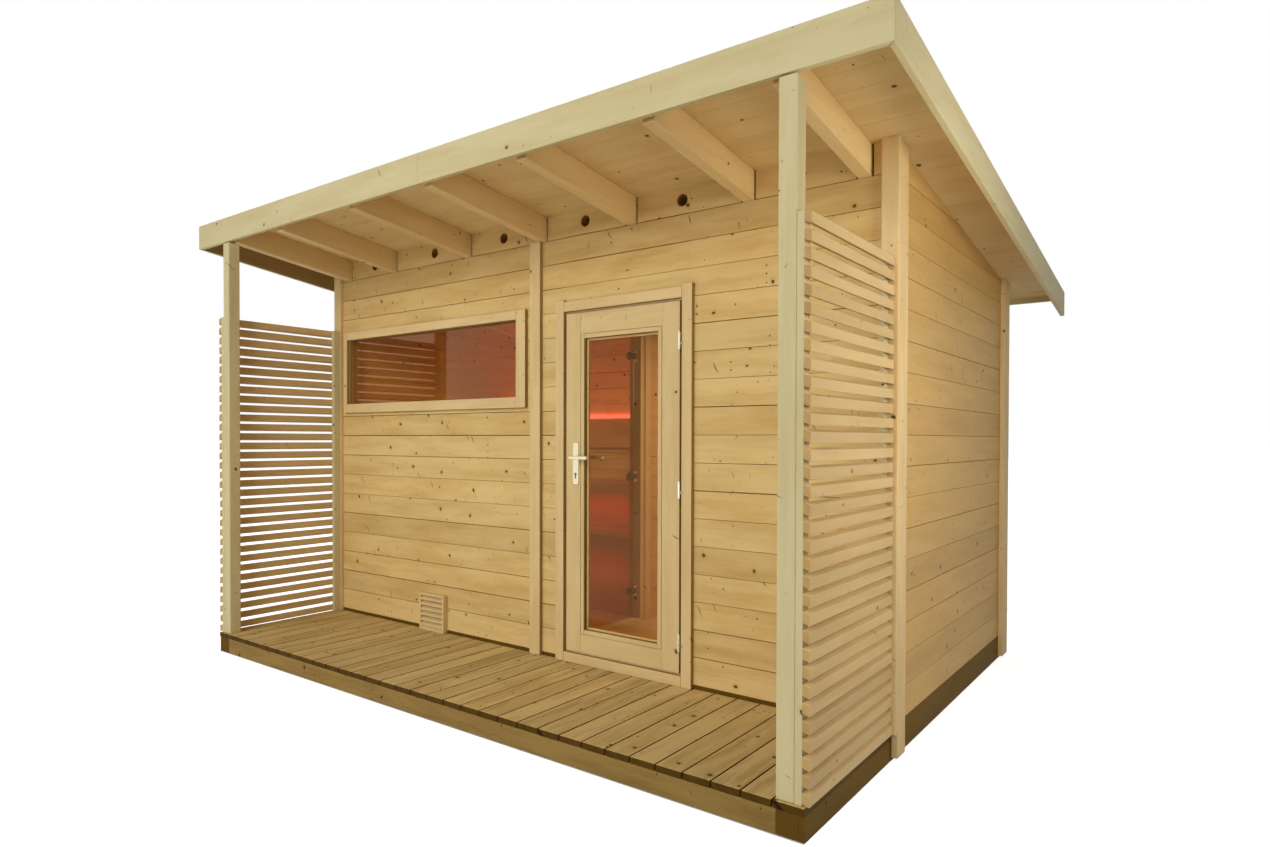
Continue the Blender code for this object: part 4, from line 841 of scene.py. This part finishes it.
def lay_felt():
    """Four sheets of felt across the roof, each lapping over the one behind it."""
    low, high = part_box("roof_covering")
    shape = bmesh.new()
    reach = (high.y - low.y) / FELT_SHEETS
    for index in range(FELT_SHEETS):
        start = low.y + index * reach
        end = min(start + reach + FELT_LAP, high.y)
        rise = 0.0014 if index < FELT_SHEETS - 1 else 0.0

        def under(y):
            return roof_underside(y) + SHEATHING + rise * (y - start) / (end - start)

        add_bar(shape, (low.x, start, 2.0), (high.x, end, 3.0), bottom=under,
                top=lambda y: under(y) + FELT_THICKNESS)
    publish("felt_sheets", shape, felt, "cabin", "roofing_felt", ("roof_covering",))


lay_felt()


# Casings, door and window
WINDOW = (-1.845, -0.190, 1.572, 2.015)
DOOR = (0.190, 0.926, 0.180, 2.010)
PANE = (0.314, 0.796, 0.304, 1.872)
CASING_OPENING = (0.177, 0.944, 0.171, 2.023)
CASING_HORN = 0.012
CASING_FRONT = WALL_FACE - SEAT - TRIM_THICKNESS
DOOR_PROUD = 0.012
DOOR_THICKNESS = 0.045
DOOR_GAP = 0.003
DOOR_FRONT = WALL_FACE - DOOR_PROUD
DOOR_BACK = DOOR_FRONT + DOOR_THICKNESS
BEAD = 0.023
BEAD_SHADOW = 0.0022
INNER_BEAD = 0.012
SEAL_SIGHT = 0.0015
SEAL_DEPTH = 0.0035


def outline_of(node):
    low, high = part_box(node)
    return low.x, high.x, low.z, high.z


def set_window():
    """Casing, frame in three layers that hold the pane, and the brown seal round the glass."""
    near, far = (corner.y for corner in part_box("window_glass"))
    layer = dict(replaced=("window_frame",), side_paint=casing_z, flat_paint=casing_x)
    outer = outline_of("window_frame")
    ring_of_bars("window_casing", outline_of("window_trim"), WINDOW, CASING_FRONT, WALL_FACE - SEAT,
                 ("window_trim",), casing_z, casing_x)
    ring_of_bars("window_frame_outside", outer, WINDOW, WALL_FACE, near - SEAT, ease=0.002, **layer)
    ring_of_bars("window_frame_core", outer, grown(WINDOW, 0.0125), near - SEAT, far + SEAT, ease=0.0,
                 **layer)
    ring_of_bars("window_frame_inside", outer, WINDOW, far + SEAT, WALL_BACK, ease=0.002, **layer)
    ring_of_bars("window_seal", WINDOW, grown(WINDOW, -SEAL_SIGHT), near - SEAL_DEPTH, near - SEAT,
                 ("window_frame",), rubber, rubber, ease=0.0004)


set_window()


def set_door_frame():
    """Casing with horns past its head, and the frame behind it."""
    ring_of_bars("door_casing", outline_of("door_trim"), CASING_OPENING, CASING_FRONT, WALL_FACE - SEAT,
                 ("door_trim",), casing_z, casing_x, horn=CASING_HORN)
    ring_of_bars("door_frame_timber", outline_of("door_frame"), grown(DOOR, DOOR_GAP), WALL_FACE, WALL_BACK,
                 ("door_frame",), casing_z, casing_x, ease=0.002)


set_door_frame()


def make_leaf():
    """Stiles and rails of the entrance door, glazing beads set off by a shadow line, and a seal."""
    layer = DOOR_FRONT + 0.004
    leaf = dict(replaced=("door_leaf",), side_paint=door_z, flat_paint=door_x, body="door")
    ring_of_bars("door_leaf_face", DOOR, grown(PANE, BEAD + BEAD_SHADOW), DOOR_FRONT, layer, ease=0.0008,
                 **leaf)
    ring_of_bars("door_leaf_core", DOOR, PANE, layer, DOOR_BACK, ease=0.0008, **leaf)
    ring_of_bars("glazing_bead_outside", grown(PANE, BEAD), PANE, DOOR_FRONT - 0.0004, layer - 0.0002,
                 ease=0.002, **leaf)
    glass_low, glass_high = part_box("door_glass")
    ring_of_bars("glazing_bead_inside", PANE, grown(PANE, -INNER_BEAD), glass_high.y + SEAT,
                 DOOR_BACK - 0.001, ease=0.002, **leaf)
    ring_of_bars("door_seal", PANE, grown(PANE, -SEAL_SIGHT), glass_low.y - SEAL_DEPTH, glass_low.y - SEAT,
                 ("door_leaf",), rubber, rubber, ease=0.0004, body="door")


make_leaf()

HINGE_LINE = (0.935, DOOR_FRONT - 0.018)
WING_THICKNESS = 0.0025


def hang_hinge(place):
    """Lift-off hinge: turned knuckles with finials, and wings on the casing and the leaf."""
    x, y = HINGE_LINE
    for word, body in (("lower", "cabin"), ("upper", "door")):
        node = "door_hinge_" + place + "_" + word
        low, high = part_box(node)
        length = high.z - low.z
        profile = [(0.0, 0.0), (0.0034, 0.0004), (0.0052, 0.0022), (0.0056, 0.0045), (0.0042, 0.0072),
                   (0.0068, 0.0085), (0.0075, 0.0095), (0.0075, 0.0120), (0.0060, 0.0130),
                   (0.0060, length - 0.0030), (0.0075, length - 0.0022), (0.0075, length - 0.0005),
                   (0.0070, length), (0.0, length)]
        if word == "upper":
            profile = [(radius, length - height) for radius, height in reversed(profile)]
        shape = bmesh.new()
        turned(shape, profile, (x, y, low.z))
        publish("hinge_" + place + "_" + word, shape, bright_steel, body, "satin_steel", (node,))
        wing = bmesh.new()
        if word == "lower":
            add_bar(wing, (x, CASING_FRONT - SEAT - WING_THICKNESS, high.z - 0.020),
                    (high.x, CASING_FRONT - SEAT, high.z - 0.006), 0.0008)
        else:
            near = DOOR_FRONT - SEAT
            half = WING_THICKNESS / 2
            add_bar(wing, (x - half, y, low.z), (x + half, near, high.z - 0.015), 0.0006)
            add_bar(wing, (low.x, near - WING_THICKNESS, low.z), (x + half, near, high.z - 0.015), 0.0008)
        publish("hinge_wing_" + place + "_" + word, wing, wing_steel, body, "satin_steel", (node,))


for place in ("bottom", "middle", "top"):
    hang_hinge(place)

HANDLE_X = 0.260
HANDLE_Z = 1.232
PLATE_FLAT = 0.008
PLATE_CORNER = 0.012
GRIP_DEPTH = 0.011
GRIP_HEIGHT = 0.019


def make_plate(word, direction):
    """A back plate with rounded ends and two screws; direction points out of the door."""
    node = "handle_plate_" + word
    low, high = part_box(node)
    out, back = (low.y, high.y) if direction < 0 else (high.y, low.y)
    face = out - direction * 0.0009
    outline = []
    for centre_z, start in ((low.z + PLATE_CORNER, math.pi), (high.z - PLATE_CORNER, 0.0)):
        for step in range(13):
            angle = start + math.pi * step / 12
            side = PLATE_FLAT if math.cos(angle) > 0 else -PLATE_FLAT
            outline.append((HANDLE_X + side + PLATE_CORNER * math.cos(angle),
                            centre_z + PLATE_CORNER * math.sin(angle)))
    shape = bmesh.new()
    cap = shape.faces.new([shape.verts.new((x, back, z)) for x, z in outline])
    raised = bmesh.ops.extrude_face_region(shape, geom=[cap])["geom"]
    moved = [item for item in raised if isinstance(item, bmesh.types.BMVert)]
    bmesh.ops.translate(shape, verts=moved, vec=(0.0, face - back, 0.0))
    rim = [edge for edge in shape.edges if all(vert in moved for vert in edge.verts)]
    bmesh.ops.bevel(shape, geom=rim, offset=0.002, segments=2, profile=0.5, affect="EDGES", material=-1)
    for z in (low.z + 0.014, high.z - 0.014):
        turned(shape, [(0.0, 0.0007), (0.0016, 0.0007), (0.0034, 0.0002), (0.0037, -0.0010)],
               (HANDLE_X, face, z), (0.0, direction, 0.0))
    publish("plate_" + word, shape, steel, "door", "satin_steel", (node,))
    return face


def make_lock(word, direction, face):
    """The round end of a lock cylinder and the web under it."""
    shape = bmesh.new()
    turned(shape, [(0.0, 0.0007), (0.0075, 0.0007), (0.0082, 0.0001), (0.0082, -0.0010)],
           (HANDLE_X, face, HANDLE_Z - 0.090), (0.0, direction, 0.0))
    ys = sorted((face - direction * 0.0010, face + direction * 0.0006))
    add_bar(shape, (HANDLE_X - 0.0045, ys[0], HANDLE_Z - 0.114),
            (HANDLE_X + 0.0045, ys[1], HANDLE_Z - 0.094), 0.0015)
    publish("lock_cylinder_" + word, shape, dark_steel, "door", "satin_steel", ("handle_plate_" + word,))


def make_levers():
    """The pair of levers: a spindle through the door, two turned necks and two grips."""
    low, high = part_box("door_lever")
    shape = bmesh.new()
    length = high.y - low.y - GRIP_DEPTH
    turned(shape, [(0.0, 0.0), (0.006, 0.0), (0.006, length), (0.0, length)],
           (HANDLE_X, low.y + GRIP_DEPTH / 2, HANDLE_Z), (0.0, 1.0, 0.0))
    for start, face in ((low.y, DOOR_FRONT - 0.0092), (high.y, DOOR_BACK + 0.0092)):
        direction = 1.0 if start < face else -1.0
        reach = abs(face - start) - 0.0045
        turned(shape, [(0.0, 0.0), (0.0075, 0.0), (0.0082, reach * 0.5), (0.0085, reach - 0.004),
                       (0.0085, reach), (0.0, reach)],
               (HANDLE_X, start + direction * 0.0045, HANDLE_Z), (0.0, direction, 0.0))
        ys = sorted((start, start + direction * GRIP_DEPTH))
        add_bar(shape, (low.x, ys[0], HANDLE_Z - GRIP_HEIGHT / 2),
                (high.x, ys[1], HANDLE_Z + GRIP_HEIGHT / 2), 0.0045, 3)
    publish("lever_pair", shape, steel, "lever", "satin_steel", ("door_lever",))


for word, direction in (("outside", -1.0), ("inside", 1.0)):
    make_lock(word, direction, make_plate(word, direction))
make_levers()


def make_vent():
    """Louvred air inlet: a thin frame with six sloping blades and near-black gauze behind them, as painted
    shade in the slots.
    """
    low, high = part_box("vent_grille")
    opening = (low.x + 0.014, high.x - 0.014, low.z + 0.023, high.z - 0.015)
    ring_of_bars("vent_frame", outline_of("vent_grille"), opening, low.y, high.y, ("vent_grille",), trim_z,
                 trim_x, ease=0.002)
    shape = bmesh.new()
    blades = 6
    pitch = (opening[3] - opening[2]) / blades
    near, far = low.y + 0.003, high.y - 0.003
    drop, half = pitch * 0.45 / 2, 0.0065
    for index in range(blades):
        z = opening[2] + pitch * (index + 0.5)
        profile = [(near, z - drop - half), (near, z - drop + half), (far, z + drop + half),
                   (far, z + drop - half)]
        add_prism(shape, profile, opening[0] - 0.004, opening[1] + 0.004, 0.0015)
    publish("vent_louvres", shape, trim_x, "cabin", "planed_spruce", ("vent_grille",))
    bar("vent_gauze", (opening[0], high.y - 0.0024, opening[2]), (opening[1], high.y - 0.0012, opening[3]),
        gauze, replaced=("vent_grille",), ease=0.0003)


make_vent()


def line_vent_holes():
    """Sleeves in the six round vent holes under the roof, dark brown as painted shade inside the holes."""
    shape = bmesh.new()
    bore, outside, length = 0.0285, 0.0305, WALL_THICKNESS - 0.002
    for index in range(6):
        x = (index - 2.5) * VENT_HOLE_PITCH
        turned(shape, [(bore, 0.0), (outside, 0.0), (outside, length), (bore, length), (bore, 0.0)],
               (x, WALL_FACE + 0.001, ROOF_AT_WALL - VENT_HOLE_DROP), (0.0, 1.0, 0.0), 32)
    publish("vent_sleeves", shape, sleeve_y, "cabin", "planed_spruce",
            ("front_wall_left", "front_wall_over_door", "front_wall_right"))


line_vent_holes()

# Hot room, inner door's surround and the base
for node in ("lower_bench", "upper_bench", "backrest"):
    eased_copy(node, node + "_slats", bench_x, "bench_timber")
eased_copy("inner_door_frame", "inner_frame", jamb_z, "planed_spruce")
part_low, part_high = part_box("partition_rear")
bar("inner_casing", (part_high.x - 0.0002, part_low.y + 0.0005, part_low.z),
    (part_high.x + 0.012, part_low.y + 0.058, 2.10), trim_z, replaced=("partition_rear",), ease=0.003)
eased_copy("cabin_frame", "cabin_frame_timbers", treated_y, "impregnated_timber")

# Nodes that keep their own shape
for node, paint in (
        ("cabin_floor", floor_x), ("inner_door_knob", bench_z), ("light_strip", red_light),
        ("door_glass", glass), ("inner_door_glass", inner_glass), ("window_glass", window_glass),
        ("inner_door_hinge_bottom", dark_steel), ("inner_door_hinge_middle", dark_steel),
        ("inner_door_hinge_top", dark_steel)):
    mesh = NODES[node].data
    mesh.materials.clear()
    mesh.materials.append(paint)


# Floor, background and light
def seen_by(tree, *kinds):
    """1 for rays of these kinds, and 0 for the others."""
    rays = add(tree, "LightPath").node.outputs
    seen = rays[kinds[0]]
    for kind in kinds[1:]:
        seen = add(tree, "Math", [seen, rays[kind]], operation="MAXIMUM")
    return seen


def set_world():
    """White where the camera, metal and glass see it, and a softer level on the object."""
    world = bpy.data.worlds.new("studio")
    bpy.context.scene.world = world
    world.use_nodes = True
    tree = world.node_tree
    seen = seen_by(tree, "Is Camera Ray", "Is Glossy Ray", "Is Transmission Ray")
    strength = add(tree, "MapRange", [seen, 0.0, 1.0, WORLD_LEVEL, 1.0])
    connect(tree.nodes["Background"], {"Color": (1.0, 1.0, 1.0, 1.0), "Strength": strength})


def floor_paint():
    """A matt pale floor that brightens to white with its distance, but not under the cabin."""
    made, tree, shader = new_material("matt_studio_floor")
    place = add(tree, "TexCoord", give="Object")
    reach = add(tree, "VectorMath", [place], give="Value", operation="LENGTH")
    wanted = add(tree, "MapRange", [reach, FLOOR_NEAR, FLOOR_FAR, FLOOR_LIFT, 1.0])
    seen = seen_by(tree, "Is Camera Ray", "Is Glossy Ray")
    lift = add(tree, "Math", [seen, wanted], operation="MULTIPLY")
    split = add(tree, "SeparateXYZ", [place]).node.outputs
    covered = 1.0
    for axis, low, high in ((X, -HALF_WIDTH, HALF_WIDTH), (Y, DECK_FRONT, REAR_FACE)):
        away = add(tree, "Math", [split[axis], 1.0, -(low + high) / 2], **TIMES_PLUS)
        away = add(tree, "Math", [away], operation="ABSOLUTE")
        under = add(tree, "Math", [away, (high - low) / 2], operation="LESS_THAN")
        covered = add(tree, "Math", [under, covered], operation="MULTIPLY")
    in_open = add(tree, "Math", [covered, -1.0, 1.0], **TIMES_PLUS)
    connect(shader, {"Base Color": linear("#DADAD8"), "Roughness": 0.9, "Specular IOR Level": 0.0,
                     "Emission Color": (1.0, 1.0, 1.0, 1.0),
                     "Emission Strength": add(tree, "Math", [lift, in_open], operation="MULTIPLY")})
    return made


def set_floor():
    """A plain round floor that keeps the cabin's shadow."""
    shape = bmesh.new()
    bmesh.ops.create_circle(shape, cap_ends=True, segments=96, radius=60.0)
    mesh = bpy.data.meshes.new("floor")
    shape.to_mesh(mesh)
    shape.free()
    mesh.materials.append(floor_paint())
    floor = bpy.data.objects.new("floor", mesh)
    floor.location.z = -0.0005
    bpy.context.collection.objects.link(floor)


def add_sun(name, azimuth, height, strength, colour, spread):
    """A soft lamp far away; azimuth 0 shines from the front, 90 from the right."""
    data = bpy.data.lights.new(name, "SUN")
    data.energy = strength
    data.color = linear(colour)[:3]
    data.angle = math.radians(spread)
    lamp = bpy.data.objects.new(name, data)
    turn, rise = math.radians(azimuth), math.radians(height)
    toward = Vector((math.sin(turn) * math.cos(rise), -math.cos(turn) * math.cos(rise), math.sin(rise)))
    lamp.rotation_euler = toward.to_track_quat("Z", "Y").to_euler()
    bpy.context.collection.objects.link(lamp)


def add_panel(name, place, target, size, power, colour):
    """A soft rectangular lamp turned towards a target, which the camera doesn't see."""
    data = bpy.data.lights.new(name, "AREA")
    data.shape = "RECTANGLE"
    data.size, data.size_y = size
    data.energy = power
    data.color = linear(colour)[:3]
    lamp = bpy.data.objects.new(name, data)
    lamp.location = place
    lamp.rotation_euler = (Vector(place) - Vector(target)).to_track_quat("Z", "Y").to_euler()
    lamp.visible_camera = False
    lamp.visible_glossy = False
    lamp.visible_transmission = False
    bpy.context.collection.objects.link(lamp)


WORLD_LEVEL = 0.16
FLOOR_LIFT = 0.80
FLOOR_NEAR = 3.5
FLOOR_FAR = 7.0
set_world()
set_floor()
add_panel("key", (1.0, -9.0, 4.6), (0.0, -0.8, 1.3), (5.0, 3.5), 400.0, "#FFFEFA")
add_panel("fill", (3.6, -1.3, 1.8), (1.9, -0.2, 1.5), (0.9, 0.9), 27.0, "#FFF8EC")
add_panel("under_roof", (-1.2, -4.2, 0.3), (-0.8, -1.1, 2.5), (4.0, 0.8), 22.0, "#FFFAEE")
add_panel("back", (-5.5, 5.5, 3.4), (-0.3, 0.8, 1.2), (4.0, 3.0), 260.0, "#FFFEFA")
add_sun("top", -25.0, 50.0, 0.16, "#FFFDF8", 40.0)
add_panel("dressing_room_light", (0.95, 0.4, 2.10), (0.95, 0.4, 0.0), (0.5, 0.5), 10.0, "#FFE4BC")
add_panel("hot_room_light", (-0.95, -0.2, 2.10), (-0.95, 0.3, 0.0), (0.8, 0.4), 2.1, "#FFD0A4")
add_panel("strip_glow", (-0.98, 1.157, 1.523), (-0.98, 1.157, 1.80), (1.7, 0.012), 0.70, "#FF5A8C")
add_panel("strip_light", (-0.98, 0.80, 1.56), (-0.98, 1.20, 2.3), (1.7, 0.05), 1.5, "#FF7C6C")
add_panel("upper_bench_light", (-0.98, 0.50, 0.84), (-0.98, 0.61, 0.76), (1.7, 0.12), 0.5, "#FF4050")
add_panel("lower_bench_light", (-0.98, 0.10, 0.46), (-0.98, 0.24, 0.36), (1.7, 0.16), 0.4, "#FF4040")

bpy.context.scene.view_settings.view_transform = "Standard"
